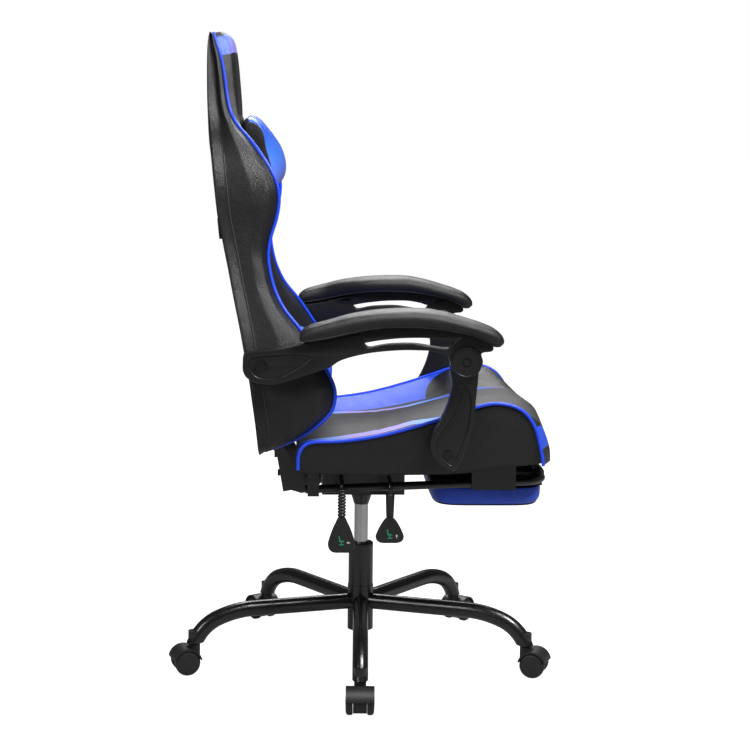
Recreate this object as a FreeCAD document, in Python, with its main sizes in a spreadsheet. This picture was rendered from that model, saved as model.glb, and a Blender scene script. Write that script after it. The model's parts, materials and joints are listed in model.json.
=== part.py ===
import FreeCAD, Part
import math
import os
import Sketcher
from FreeCAD import Placement, Rotation, Vector

# Gaming chair on a five-leg caster base, millimetres.
# +X is the front of the chair, +Y its left-hand side, +Z is up.
# The origin is on the floor, on the axis of the column.

doc = FreeCAD.newDocument("gaming_chair")
sheet = doc.addObject("Spreadsheet::Sheet", "dims")

DIMENSIONS = {
    # fits, shared by the whole chair
    "running_gap": 0.05,        # radial, a shaft in a bore
    "soft_gap": 0.3,            # upholstery to its neighbours
    "side_gap": 0.5,            # flat faces that slide past each other
    # five-leg base
    "leg_pitch": 72,
    "first_leg_angle": -92,
    "caster_circle": 347,
    "hub_radius": 26,
    "hub_wall": 3.5,
    "hub_bottom": 63,
    "hub_top": 155,
    "leg_tall": 32,
    "leg_wide": 30,
    "leg_wall": 2,
    "leg_root_level": 121,
    "leg_slope": 0,
    "leg_bend_run": 123,        # the bend starts this far inside the caster circle
    "leg_bend_radius": 200,
    "leg_foot_radius": 85,
    "leg_foot_level": 61,
    "foot_boss_radius": 12,
    "foot_boss_height": 24,
    # twin-wheel casters
    "wheel_radius": 25,
    "wheel_width": 14,
    "wheel_spacing": 27,
    "axle_radius": 4,
    "caster_trail": 18,
    "stem_radius": 5.5,
    "stem_depth": 20,
    "hood_radius": 29,
    "hood_top": 58,
    "hood_clearance": 0.6,
    # column
    "tube_radius": 25,
    "tube_wall": 2.5,
    "tube_top": 238,
    "collar_flange": 5.7,
    "collar_depth": 33,
    "cylinder_radius": 14,
    "cylinder_bottom": 150,
    "rod_radius": 5,
    "rod_top": 205,
    "bearing_radius": 10,
    "bearing_height": 4,
    "lift_travel": 78,
    # seat; the seat level is the underside of the seat board
    "seat_level": 434,
    "seat_width": 530,
    "bolster_width": 98,
    "board_thick": 12,
    "board_inset": 60,          # the side of the seat to the edge of its board
    "board_rear": -126,
    # mechanism under the seat board
    "pan_rear": -81,
    "pan_front": 83,
    "pan_half_width": 75,
    "pan_depth": 78,
    "plate": 3,
    "flange_rear": -118,
    "flange_front": 128,
    "flange_half_width": 114,
    "cone_depth": 33,
    "cone_small": 15,
    "cone_large": 21,
    "bolt_radius": 4,
    "bolt_head_radius": 6.5,
    "bolt_head_height": 5,
    "bolt_spacing_x": 210,
    "bolt_spacing_y": 200,
    # levers
    "lever_reach": 232,
    "lever_level": 412,
    "lever_rod_radius": 4,
    "lever_bend": 12,
    "lever_hole_gap": 1.8,
    "lever_pivot_inset": 13,    # from the pan's wall in to the levers' pins
    "lever_pin_radius": 2.5,
    "lever_pin_length": 22,
    "lever_lug_wall": 4,
    "sleeve_radius": 8,
    "height_lever_x": 46,
    "recline_lever_x": -46,
    "paddle_thick": 11,
    # footrest; its tubes rise gently to the front
    "rail_radius": 8,
    "rail_half_spacing": 185,
    "rail_rear": -116,
    "rail_front": 345,
    "rail_level": 390,
    "rail_slope": 2.2,
    "rail_corner": 40,
    "hanger_wall": 7,
    "hanger_gap": 0.4,
    "front_hanger_x": 247,
    "front_hanger_length": 85,
    "rear_hanger_x": -100,
    "rear_hanger_length": 22,
    "footpad_half_width": 150,
    "footpad_length": 215,
    "footpad_thick": 42,
    "footboard_thick": 8,
    "clamp_wall": 4,
    "clamp_width": 30,
    "clamp_spacing": 180,
    # recline hinge and back bracket
    "hinge_x": -100,
    "hinge_level": 395,
    "hinge_radius": 5,
    "ear_half_spacing": 108,
    "bracket_half_spacing": 114,
    "bracket_plate": 5,
    # back
    "back_lean": 8.7,
    "back_centre_width": 300,
    "back_width": 590,
    "frame_tube_radius": 10,
    "frame_foot_x": -184,
    "frame_foot_level": 480,
    "frame_length": 640,
    "frame_corner": 45,
    "strap_width": 25,
    # armrests
    "arm_stand": 3,             # the side of the back to the arm frame
    "arm_thick": 30,
    "arm_pad_width": 74,
    "post_stand": 6,            # the side of the seat to the post
    "post_thick": 26,
    "arm_pivot_x": -199,
    "arm_pivot_level": 650,
    "post_pivot_x": 150,
    "post_pivot_level": 480,
    "disc_x": 178,
    "disc_level": 659,
    "disc_radius": 29,
    "disc_thick": 8,
    "disc_boss_radius": 8,
    "disc_play": 7,
    "arm_bolt_radius": 5,
    "arm_bolt_head": 9,
}
for row, (alias, value) in enumerate(DIMENSIONS.items(), 1):
    sheet.set(f"A{row}", alias)
    sheet.set(f"B{row}", str(value))
    sheet.setAlias(f"B{row}", alias)
doc.recompute()

nodes = []


def size(expression):
    """A number worked out from the sheet; plain numbers pass through."""
    if isinstance(expression, (int, float)):
        return float(expression)
    return float(sheet.evalExpression(expression))


def bind(obj, prop, expression):
    """Set a property, and tie it to the sheet when it is an expression."""
    if isinstance(expression, str):
        obj.setExpression(prop, expression)
    else:
        target, _, field = prop.rpartition(".")
        if target:
            obj.setExpression(prop, str(expression))
        else:
            setattr(obj, field, expression)


def node(obj, name):
    """Mark an object as one of the chair's pieces."""
    obj.Label = name
    nodes.append(obj)
    return obj


def place(obj, x=0, y=0, z=0, axis=(0, 0, 1), angle=0):
    """Give an object a placement whose position and angle follow the sheet."""
    obj.Placement = Placement(Vector(size(x), size(y), size(z)), Rotation(Vector(*axis), size(angle)))
    for field, value in (("x", x), ("y", y), ("z", z)):
        if isinstance(value, str):
            obj.setExpression(f"Placement.Base.{field}", value)
    if isinstance(angle, str):
        obj.setExpression("Placement.Rotation.Angle", f"({angle}) * 1deg")
    return obj


def make(kind, **sizes):
    """A Part primitive or boolean with its sizes bound to the sheet."""
    obj = doc.addObject(kind, kind.split("::")[1].lower())
    for prop, value in sizes.items():
        bind(obj, prop, value)
    return obj


def cylinder(radius, height, x=0, y=0, z=0, along="z"):
    """A round bar from (x, y, z) along +X, +Y or +Z."""
    turn = {"x": ((0, 1, 0), 90), "y": ((1, 0, 0), -90), "z": ((0, 0, 1), 0)}[along]
    return place(make("Part::Cylinder", Radius=radius, Height=height), x, y, z, *turn)


def box(x, y, z):
    """A block between the low and high value of each pair."""
    block = make("Part::Box", Length=f"({x[1]}) - ({x[0]})", Width=f"({y[1]}) - ({y[0]})",
                 Height=f"({z[1]}) - ({z[0]})")
    return place(block, str(x[0]), str(y[0]), str(z[0]))


def fuse(*parts):
    obj = doc.addObject("Part::MultiFuse", "fused")
    obj.Shapes = list(parts)
    return obj


def cut(base, *tools):
    obj = doc.addObject("Part::Cut", "cut")
    obj.Base = base
    obj.Tool = tools[0] if len(tools) == 1 else fuse(*tools)
    return obj


def sketch(body, name, outline, role="XZ_Plane"):
    """A closed outline of straight runs, each corner bound to the sheet."""
    drawn = body.newObject("Sketcher::SketchObject", name)
    plane = [item for item in body.Origin.OriginFeatures if item.Role == role][0]
    drawn.AttachmentSupport = [(plane, "")]
    drawn.MapMode = "FlatFace"
    corners = [(size(u), size(v)) for u, v in outline]
    count = len(corners)
    for i in range(count):
        start, end = corners[i], corners[(i + 1) % count]
        drawn.addGeometry(Part.LineSegment(Vector(*start, 0), Vector(*end, 0)), False)
    for i in range(count):
        drawn.addConstraint(Sketcher.Constraint("Coincident", i, 2, (i + 1) % count, 1))
    for i in range(count):
        for kind, value, source in zip(("DistanceX", "DistanceY"), corners[i], outline[i]):
            k = drawn.addConstraint(Sketcher.Constraint(kind, -1, 1, i, 1, value))
            if isinstance(source, str):
                drawn.setExpression(f"Constraints[{k}]", source)
    return drawn


def slab(name, outline, inner, outer, rounding=0):
    """A side-view outline given a width, from y = inner to y = outer."""
    body = doc.addObject("PartDesign::Body", name)
    drawn = sketch(body, name + "_outline", outline)
    pad = body.newObject("PartDesign::Pad", name + "_width")
    pad.Profile = drawn
    bind(pad, "Length", f"({outer}) - ({inner})")
    place(body, 0, str(outer), 0)
    doc.recompute()
    if rounding:
        flat = [f"Face{i}" for i, face in enumerate(pad.Shape.Faces, 1)
                if abs(face.normalAt(0, 0).y) > 0.9]
        fillet = body.newObject("PartDesign::Fillet", name + "_rounding")
        fillet.Base = (pad, flat)
        bind(fillet, "Radius", rounding)
        doc.recompute()
    return body


def turned(name, outline, place_at=(0, 0, 0), role="XZ_Plane", axis="V_Axis"):
    """A piece turned about its own axis from half of its section."""
    body = doc.addObject("PartDesign::Body", name)
    drawn = sketch(body, name + "_section", outline, role)
    spin = body.newObject("PartDesign::Revolution", name + "_turn")
    spin.Profile = drawn
    spin.ReferenceAxis = (drawn, [axis])
    spin.Angle = 360
    place(body, *place_at)
    return body


def from_datum(x_datum, z_datum, points):
    """Outline points measured from two named datums."""
    return [(f"{x_datum} + ({x})", f"{z_datum} + ({z})") for x, z in points]


def pipe(points, radius, bends):
    """A round bar along straight runs joined by tangent arcs."""
    edges = []
    last = points[0]
    for before, corner, after, bend in zip(points, points[1:], points[2:], bends):
        back_way = (before - corner).normalize()
        on_way = (after - corner).normalize()
        half = back_way.getAngle(on_way) / 2
        reach = bend / math.tan(half)
        start = corner + back_way * reach
        end = corner + on_way * reach
        middle_way = (back_way + on_way).normalize()
        middle = corner + middle_way * (bend / math.sin(half) - bend)
        edges.append(Part.LineSegment(last, start).toShape())
        edges.append(Part.Arc(start, middle, end).toShape())
        last = end
    edges.append(Part.LineSegment(last, points[-1]).toShape())
    path = Part.Wire(edges)
    way = (points[1] - points[0]).normalize()
    section = Part.Wire(Part.Circle(points[0], way, radius).toShape())
    return path.makePipeShell([section], True, False)


def shaped(name, shape):
    """A piece whose shape is worked out here from the sheet's values."""
    obj = doc.addObject("Part::Feature", name)
    obj.Shape = shape
    return obj


# ---------------------------------------------------------------- base hub
# The hub is a steel sleeve; the gas tube's shoulder sits on its top rim.
hub = turned("base_hub_turned", [
    ("dims.hub_radius - dims.hub_wall", "dims.hub_bottom"),
    ("dims.hub_radius", "dims.hub_bottom"),
    ("dims.hub_radius", "dims.hub_top"),
    ("dims.hub_radius - dims.hub_wall", "dims.hub_top"),
])
node(hub, "base_hub")


# ---------------------------------------------------------------- base legs
def leg_shape():
    """One oval steel tube along +X: a gentle slope, two bends and a foot."""
    slope = math.radians(size("dims.leg_slope"))
    circle = size("dims.caster_circle")
    root = size("dims.leg_root_level")
    radius_1 = size("dims.leg_bend_radius")
    radius_2 = size("dims.leg_foot_radius")
    middle_turn = math.radians(22)
    foot_turn = math.radians(66)
    inside = size("dims.hub_radius") / 2

    def along(radius, start, end):
        """How far an arc of the tube's centre line carries it out and down."""
        return (radius * (math.sin(end) - math.sin(start)),
                radius * (math.cos(start) - math.cos(end)))

    bend_x = circle - size("dims.leg_bend_run")
    bend_z = root - (bend_x - inside) * math.tan(slope)
    points = [(inside, root), (bend_x, bend_z)]
    for radius, start, end in ((radius_1, slope, middle_turn), (radius_2, middle_turn, foot_turn)):
        for stop in ((start + end) / 2, end):
            out, down = along(radius, start, stop)
            points.append((points[-1 if stop != end else -2][0] + out,
                           points[-1 if stop != end else -2][1] - down))
    below = size("dims.leg_foot_level") - 6
    last_x, last_z = points[-1]
    points.append((last_x + (last_z - below) / math.tan(foot_turn), below))
    spots = [Vector(x, 0, z) for x, z in points]
    edges = [Part.LineSegment(spots[0], spots[1]).toShape(),
             Part.Arc(spots[1], spots[2], spots[3]).toShape(),
             Part.Arc(spots[3], spots[4], spots[5]).toShape(),
             Part.LineSegment(spots[5], spots[6]).toShape()]
    tall = size("dims.leg_tall") / 2
    wide = size("dims.leg_wide") / 2
    wall = size("dims.leg_wall")
    way = (spots[1] - spots[0]).normalize()

    def oval(half_wide, half_tall):
        axes = [Vector(0, 1, 0), way.cross(Vector(0, 1, 0))]
        radii = [half_wide, half_tall]
        if half_tall > half_wide:
            axes.reverse()
            radii.reverse()
        rim = Part.Ellipse(Vector(0, 0, 0), *radii).toShape()
        rim.Placement = Placement(spots[0], Rotation(*axes, axes[0].cross(axes[1]), "ZXY"))
        return Part.Wire(rim)

    outside = Part.Wire(edges).makePipeShell([oval(wide, tall)], True, False)
    hollow = Part.Wire(edges[:2]).makePipeShell([oval(wide - wall, tall - wall)], True, False)
    return outside.cut(hollow), spots


leg_solid, leg_spots = leg_shape()
FLOOR_SIDE = 200
for k in range(5):
    turn = f"dims.first_leg_angle + {k} * dims.leg_pitch"
    tube = shaped(f"leg_tube_{k + 1}", leg_solid)
    boss = cylinder("dims.foot_boss_radius", "dims.foot_boss_height",
                    "dims.caster_circle", 0, "dims.leg_foot_level")
    under = box((0, "dims.caster_circle * 2"), (-FLOOR_SIDE, FLOOR_SIDE), (0, "dims.leg_foot_level"))
    hub_space = cylinder("dims.hub_radius", "dims.hub_top + 50")
    stem_hole = cylinder("dims.stem_radius + dims.running_gap", "dims.stem_depth + dims.side_gap",
                         "dims.caster_circle", 0, "dims.leg_foot_level")
    leg = cut(fuse(tube, boss), under, hub_space, stem_hole)
    node(place(leg, 0, 0, 0, (0, 0, 1), turn), f"base_leg_{k + 1}")

# ---------------------------------------------------------------- casters
# Each caster has a plastic hood on a steel stem, and two wheels on one axle.
for k in range(5):
    turn = f"dims.first_leg_angle + {k} * dims.leg_pitch"
    wheel_x = "dims.caster_circle + dims.caster_trail"
    half_web = "dims.wheel_spacing / 2 - dims.side_gap"
    half_all = "dims.wheel_spacing / 2 + dims.wheel_width - dims.side_gap"
    cap = cylinder("dims.hood_radius", f"2 * ({half_all})", wheel_x, f"-({half_all})",
                   "dims.wheel_radius", "y")
    lower = box((0, "dims.caster_circle * 2"), (-FLOOR_SIDE, FLOOR_SIDE), (0, "dims.wheel_radius + 6"))
    web = cylinder("dims.wheel_radius - 3", f"2 * ({half_web})", wheel_x, f"-({half_web})",
                   "dims.wheel_radius", "y")
    neck = cylinder("dims.stem_radius + 6", "dims.hood_top - dims.wheel_radius",
                    "dims.caster_circle", 0, "dims.wheel_radius")
    pockets = []
    for low in (half_web, "-60"):
        pockets.append(cylinder("dims.wheel_radius + dims.hood_clearance", f"60 - ({half_web})",
                                wheel_x, low, "dims.wheel_radius", "y"))
    bore = cylinder("dims.axle_radius + dims.running_gap", "120", wheel_x, -60,
                    "dims.wheel_radius", "y")
    socket = cylinder("dims.stem_radius", "60", "dims.caster_circle", 0, "dims.wheel_radius + 12")
    hood = cut(fuse(cut(cap, lower), web, neck), *pockets, bore, socket)
    node(place(hood, 0, 0, 0, (0, 0, 1), turn), f"caster_hood_{k + 1}")
    stem = cylinder("dims.stem_radius", "dims.leg_foot_level + dims.stem_depth - dims.wheel_radius - 12",
                    f"dims.caster_circle * cos(({turn}) * 1deg)",
                    f"dims.caster_circle * sin(({turn}) * 1deg)", "dims.wheel_radius + 12")
    node(stem, f"caster_stem_{k + 1}")
    inner = "dims.wheel_spacing / 2"
    outer = "(dims.wheel_spacing / 2 + dims.wheel_width)"
    half = [("dims.axle_radius", inner), ("dims.wheel_radius - 2", inner),
            ("dims.wheel_radius", f"{inner} + 2"), ("dims.wheel_radius", f"{outer} - 5"),
            ("dims.wheel_radius - 2", f"{outer} - 2"), ("dims.wheel_radius - 6", f"{outer} - 0.8"),
            (0, outer)]
    section = [(0, f"-{outer}")]
    section += [(r, f"-({y})") for r, y in reversed(half[:-1])]
    section += half
    wheels = turned(f"caster_wheels_turned_{k + 1}", section, role="XY_Plane")
    place(wheels, f"({wheel_x}) * cos(({turn}) * 1deg)", f"({wheel_x}) * sin(({turn}) * 1deg)",
          "dims.wheel_radius", (0, 0, 1), turn)
    node(wheels, f"caster_wheels_{k + 1}")

# ---------------------------------------------------------------- column
tube_inner = "dims.tube_radius - dims.tube_wall"
neck_outer = "dims.hub_radius - dims.hub_wall"
neck_inner = f"{neck_outer} - dims.tube_wall"
gas_tube = turned("gas_tube_turned", [
    (0, "dims.hub_bottom"),
    (neck_outer, "dims.hub_bottom"),
    (neck_outer, "dims.hub_top"),
    ("dims.tube_radius", "dims.hub_top"),
    ("dims.tube_radius", "dims.tube_top"),
    (tube_inner, "dims.tube_top"),
    (tube_inner, "dims.hub_top + dims.tube_wall"),
    (neck_inner, "dims.hub_top + dims.tube_wall"),
    (neck_inner, "dims.hub_bottom + dims.plate"),
    (0, "dims.hub_bottom + dims.plate"),
])
node(gas_tube, "gas_tube")
guide = "dims.cylinder_radius + dims.running_gap"
collar = turned("gas_tube_collar_turned", [
    (guide, "dims.tube_top - dims.collar_depth"),
    (tube_inner, "dims.tube_top - dims.collar_depth"),
    (tube_inner, "dims.tube_top"),
    ("dims.tube_radius", "dims.tube_top"),
    ("dims.tube_radius", "dims.tube_top + dims.collar_flange - 2"),
    ("dims.tube_radius - 2", "dims.tube_top + dims.collar_flange"),
    (guide, "dims.tube_top + dims.collar_flange"),
])
node(collar, "gas_tube_collar")
bearing_foot = "dims.hub_bottom + dims.plate + dims.soft_gap"
rod = turned("piston_rod_turned", [
    (0, bearing_foot),
    ("dims.bearing_radius", bearing_foot),
    ("dims.bearing_radius", f"{bearing_foot} + dims.bearing_height"),
    ("dims.rod_radius", f"{bearing_foot} + dims.bearing_height"),
    ("dims.rod_radius", "dims.rod_top"),
    (0, "dims.rod_top"),
])
node(rod, "piston_rod")
rod_bore = "dims.rod_radius + dims.running_gap"
cylinder_top = "dims.seat_level - dims.pan_depth + 22"
bore_top = "dims.rod_top + dims.lift_travel + 10"
gas_cylinder = turned("gas_cylinder_turned", [
    (rod_bore, "dims.cylinder_bottom"),
    ("dims.cylinder_radius", "dims.cylinder_bottom"),
    ("dims.cylinder_radius", cylinder_top),
    (0, cylinder_top),
    (0, bore_top),
    (rod_bore, bore_top),
])
node(gas_cylinder, "gas_cylinder")

# ---------------------------------------------------------------- mechanism
# A pressed steel pan with a flange above it, hinge ears, and the cone that
# takes the gas cylinder.
pan_top = "dims.seat_level"
pan_bottom = "dims.seat_level - dims.pan_depth"
flange = box(("dims.flange_rear", "dims.flange_front"),
             ("-dims.flange_half_width", "dims.flange_half_width"),
             ("dims.seat_level - dims.plate", pan_top))
pan = box(("dims.pan_rear", "dims.pan_front"), ("-dims.pan_half_width", "dims.pan_half_width"),
          (pan_bottom, pan_top))
pan_space = box(("dims.pan_rear + dims.plate", "dims.pan_front - dims.plate"),
                ("-dims.pan_half_width + dims.plate", "dims.pan_half_width - dims.plate"),
                (f"{pan_bottom} + dims.plate", f"{pan_top} - dims.plate"))
cone = make("Part::Cone", Radius1="dims.cone_small", Radius2="dims.cone_large", Height="19")
place(cone, 0, 0, f"{pan_bottom} - dims.cone_depth")
cup = cylinder("dims.cone_large", "dims.cone_depth - 19 + 24", 0, 0, f"{pan_bottom} - dims.cone_depth + 19")
ears = []
for side in (-1, 1):
    low = f"{side} * dims.ear_half_spacing - dims.plate / 2"
    ear = slab(f"hinge_ear_{'right' if side < 0 else 'left'}", [
        ("dims.hinge_x - 18", "dims.seat_level"), ("dims.hinge_x + 18", "dims.seat_level"),
        ("dims.hinge_x + 18", "dims.hinge_level - 6"), ("dims.hinge_x + 9", "dims.hinge_level - 14"),
        ("dims.hinge_x - 9", "dims.hinge_level - 14"), ("dims.hinge_x - 18", "dims.hinge_level - 6"),
    ], low, f"{low} + dims.plate")
    ears.append(ear)
cylinder_seat = cylinder("dims.cylinder_radius + dims.running_gap", "150", 0, 0,
                         "dims.seat_level - dims.pan_depth - 50")
lever_holes = [cylinder("dims.lever_rod_radius + dims.lever_hole_gap", "38", x,
                        "-dims.pan_half_width - 30", "dims.lever_level", "y")
               for x in ("dims.height_lever_x", "dims.recline_lever_x")]
pivot_y = "-(dims.pan_half_width - dims.lever_pivot_inset)"
lugs = []
for x in ("dims.height_lever_x", "dims.recline_lever_x"):
    for side in (-1, 1):
        inner = f"{x} + ({side}) * (dims.lever_rod_radius + dims.side_gap)"
        outer = f"{inner} + ({side}) * dims.lever_lug_wall"
        lugs.append(box((outer, inner) if side < 0 else (inner, outer),
                        (f"{pivot_y} - 6", f"{pivot_y} + 6"),
                        ("dims.lever_level - 6", "dims.seat_level - dims.plate / 2")))
    lever_holes.append(cylinder("dims.lever_pin_radius + dims.running_gap", "60", f"{x} - 30",
                                pivot_y, "dims.lever_level", "x"))
pin_hole = cylinder("dims.hinge_radius", "400", "dims.hinge_x", -200, "dims.hinge_level", "y")
bolt_spots = [(f"{a} * dims.bolt_spacing_x / 2", f"{b} * dims.bolt_spacing_y / 2")
              for a in (-1, 1) for b in (-1, 1)]
flange_holes = [cylinder("dims.bolt_radius + dims.running_gap", "60", x, y, "dims.seat_level - 30")
                for x, y in bolt_spots]
mechanism = cut(fuse(cut(fuse(flange, pan), pan_space), cone, cup, *ears, *lugs),
                cylinder_seat, *lever_holes, pin_hole, *flange_holes)
node(mechanism, "mechanism_plate")
pin_half = "dims.bracket_half_spacing + dims.bracket_plate / 2 + 4"
node(cylinder("dims.hinge_radius", f"2 * ({pin_half})", "dims.hinge_x", f"-({pin_half})",
              "dims.hinge_level", "y"), "recline_hinge_pin")

# ---------------------------------------------------------------- seat board
board_half = "dims.seat_width / 2 - dims.board_inset"
board = slab("seat_board_plywood", from_datum("0", "dims.seat_level", [
    ("dims.board_rear", 0), (150, 0), (330, 22), (330, "22 + dims.board_thick"),
    (150, "dims.board_thick"), ("dims.board_rear", "dims.board_thick"),
]), f"-({board_half})", board_half)
board_holes = [cylinder("dims.bolt_radius + dims.running_gap", "30", x, y, "dims.seat_level - 15")
               for x, y in bolt_spots]
node(cut(board, *board_holes), "seat_board")
bolts = []
for x, y in bolt_spots:
    bolts.append(cylinder("dims.bolt_head_radius", "dims.bolt_head_height", x, y,
                          "dims.seat_level - dims.plate - dims.bolt_head_height"))
    bolts.append(cylinder("dims.bolt_radius", "dims.plate + 10", x, y, "dims.seat_level - dims.plate"))
# The two armrest posts turn on bolts at the sides of the seat.
post_near = "dims.seat_width / 2 + dims.post_stand"
post_far = f"{post_near} + dims.post_thick"
for side in (-1, 1):
    reach = f"{post_far} - dims.seat_width / 2"
    start = "dims.seat_width / 2" if side > 0 else f"-({post_far})"
    head = post_far if side > 0 else f"-({post_far}) - dims.bolt_head_height + 4"
    bolts.append(cylinder("dims.arm_bolt_radius", reach, "dims.post_pivot_x", start,
                          "dims.post_pivot_level", "y"))
    bolts.append(cylinder("dims.arm_bolt_radius + 2.5", "dims.bolt_head_height - 4", "dims.post_pivot_x",
                          head, "dims.post_pivot_level", "y"))
node(fuse(*bolts), "seat_bolts")

# ---------------------------------------------------------------- seat cushion
bolster_inner = "dims.seat_width / 2 - dims.bolster_width"
over_board = "dims.seat_level + dims.board_thick + dims.soft_gap"
seat_centre = slab("seat_centre_foam", from_datum("0", over_board, [
    (-130, 0), (150, 0), (372, 27), (376, 50), (366, 68), (350, 82), (331, 92), (290, 98),
    (235, 94), (130, 72), (20, 50), (-60, 42), (-120, 38), (-132, 24),
]), f"-({bolster_inner}) + dims.soft_gap", f"{bolster_inner} - dims.soft_gap")
node(seat_centre, "seat_centre_pad")
for name, low, high in (("left", bolster_inner, "dims.seat_width / 2"),
                        ("right", "-dims.seat_width / 2", f"-({bolster_inner})")):
    bolster = slab(f"seat_bolster_foam_{name}", from_datum("0", over_board, [
        (-132, 0), (150, 0), (334, 23), (340, 30), (330, 52), (318, 78), (304, 98), (288, 114),
        (262, 124), (224, 122), (170, 106), (115, 88), (55, 68), (0, 58), (-60, 51), (-112, 47),
        (-132, 32),
    ]), low, high)
    node(bolster, f"seat_bolster_{name}")

# ---------------------------------------------------------------- footrest rails
# The frame is one bent tube; a point on it sits at the rail level plus the
# rise of the slope from its rear end.
rail_rise = "tan(dims.rail_slope * 1deg)"


def rail_z(x):
    return f"(dims.rail_level + (({x}) - dims.rail_rear) * {rail_rise})"


def frame_shape():
    side = size("dims.rail_half_spacing")
    rear, front = size("dims.rail_rear"), size("dims.rail_front")
    low, high = size(rail_z("dims.rail_rear")), size(rail_z("dims.rail_front"))
    points = [Vector(rear, -side, low), Vector(front, -side, high),
              Vector(front, side, high), Vector(rear, side, low)]
    corner = size("dims.rail_corner")
    return pipe(points, size("dims.rail_radius"), [corner, corner])


node(shaped("footrest_tube", frame_shape()), "footrest_frame")
hangers = []
for x, length in (("dims.front_hanger_x", "dims.front_hanger_length"),
                  ("dims.rear_hanger_x", "dims.rear_hanger_length")):
    for side in (-1, 1):
        half_y = "dims.rail_radius + dims.hanger_wall"
        y = f"{side} * dims.rail_half_spacing"
        top = "dims.seat_level" if "rear" in x else "dims.seat_level + 5.4"
        hangers.append(box((f"{x} - {length} / 2", f"{x} + {length} / 2"),
                           (f"{y} - ({half_y})", f"{y} + {half_y}"),
                           (f"{rail_z(x)} - dims.rail_radius - 3.5", top)))


def rail_space():
    """The two bores that the rails slide in, a little wider than the tube."""
    side = size("dims.rail_half_spacing")
    radius = size("dims.rail_radius + dims.hanger_gap")
    start, end = size("dims.rail_rear - 60"), size("dims.rail_front + 60")
    bores = []
    for y in (-side, side):
        foot = Vector(start, y, size(rail_z("dims.rail_rear - 60")))
        head = Vector(end, y, size(rail_z("dims.rail_front + 60")))
        bores.append(Part.makeCylinder(radius, (head - foot).Length, foot, head - foot))
    return bores[0].fuse(bores[1])


board_space = slab("board_underside_space", from_datum("0", "dims.seat_level", [
    ("dims.board_rear - 40", 0), (150, 0), (330, 22), (330, 60), ("dims.board_rear - 40", 60),
]), "-dims.seat_width", "dims.seat_width")
node(cut(fuse(*hangers), shaped("rail_bores", rail_space()), board_space), "rail_hangers")

# ---------------------------------------------------------------- foot pad
# The pad hangs under the frame and turns over about the front cross tube.
cross_x = "dims.rail_front"
cross_z = rail_z(cross_x)
pad_top = f"({cross_z} - dims.rail_radius - dims.footboard_thick)"
board_rear = f"({cross_x} - dims.footpad_length)"
footboard = box((board_rear, f"{cross_x} + 2"), ("-dims.footpad_half_width", "dims.footpad_half_width"),
                (pad_top, f"{pad_top} + dims.footboard_thick - 1"))
node(footboard, "footrest_board")
foot_outline = [(f"{board_rear} - 2", f"{pad_top} - dims.soft_gap"),
                (f"{board_rear} - 2", f"{pad_top} - dims.footpad_thick * 0.45"),
                (f"{board_rear} + 12", f"{pad_top} - dims.footpad_thick * 0.8"),
                (f"{board_rear} + 40", f"{pad_top} - dims.footpad_thick"),
                (f"{cross_x} - 38", f"{pad_top} - dims.footpad_thick"),
                (f"{cross_x} - 8", f"{pad_top} - dims.footpad_thick * 0.8"),
                (f"{cross_x} + 8", f"{pad_top} - dims.footpad_thick * 0.45"),
                (f"{cross_x} + 8", f"{pad_top} - dims.soft_gap")]
node(slab("footrest_foam", foot_outline, "-dims.footpad_half_width - 15", "dims.footpad_half_width + 15"),
     "footrest_pad")
clamps = []
for side in (-1, 1):
    low = f"{side} * dims.clamp_spacing / 2 - dims.clamp_width / 2"
    ring = cylinder("dims.rail_radius + dims.clamp_wall", "dims.clamp_width", cross_x, low, cross_z, "y")
    tail = box((f"{cross_x} - 45", cross_x), (low, f"{low} + dims.clamp_width"),
               (f"{pad_top} + dims.footboard_thick - 1", f"{pad_top} + dims.footboard_thick + 3"))
    clamps.append(fuse(ring, tail))
ring_space = cylinder("dims.rail_radius + dims.running_gap", "600", cross_x, -300, cross_z, "y")
flat_space = box((f"{cross_x} - 100", f"{cross_x} + 60"), (-300, 300),
                 (f"{pad_top} - 40", f"{pad_top} + dims.footboard_thick - 1"))
node(cut(fuse(*clamps), ring_space, flat_space), "footrest_clamps")


# ---------------------------------------------------------------- levers
def lever_rod(x):
    """A bent steel rod: out over the rail and down to its paddle."""
    level = size("dims.lever_level")
    reach = size("dims.lever_reach")
    points = [Vector(x, size(pivot_y) + 6, level), Vector(x, -reach, level),
              Vector(x, -reach, size("dims.lever_level - 66"))]
    return pipe(points, size("dims.lever_rod_radius"), [size("dims.lever_bend")])


def paddle(name, x, top, half_width, tall):
    """A teardrop grip with a flat foot, hung on the end of its rod."""
    outline = from_datum(x, f"dims.lever_level - ({top})", [
        (-7, 0), (7, 0), (half_width * 0.62, -tall * 0.32), (half_width, -tall * 0.7),
        (half_width * 0.93, -tall * 0.88), (half_width * 0.66, -tall), (-half_width * 0.66, -tall),
        (-half_width * 0.93, -tall * 0.88), (-half_width, -tall * 0.7), (-half_width * 0.62, -tall * 0.32),
    ])
    grip = slab(name + "_grip", outline, "-dims.lever_reach - dims.paddle_thick / 2",
                "-dims.lever_reach + dims.paddle_thick / 2")
    hole = cylinder("dims.lever_rod_radius + dims.running_gap", "60", x, "-dims.lever_reach",
                    "dims.lever_level - 66 - dims.side_gap")
    return cut(grip, hole)


def lever_pin(x):
    """The cross pin the lever turns on, held by the two lugs inside the pan."""
    return cylinder("dims.lever_pin_radius", "dims.lever_pin_length", f"{x} - dims.lever_pin_length / 2",
                    pivot_y, "dims.lever_level", "x")


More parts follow.
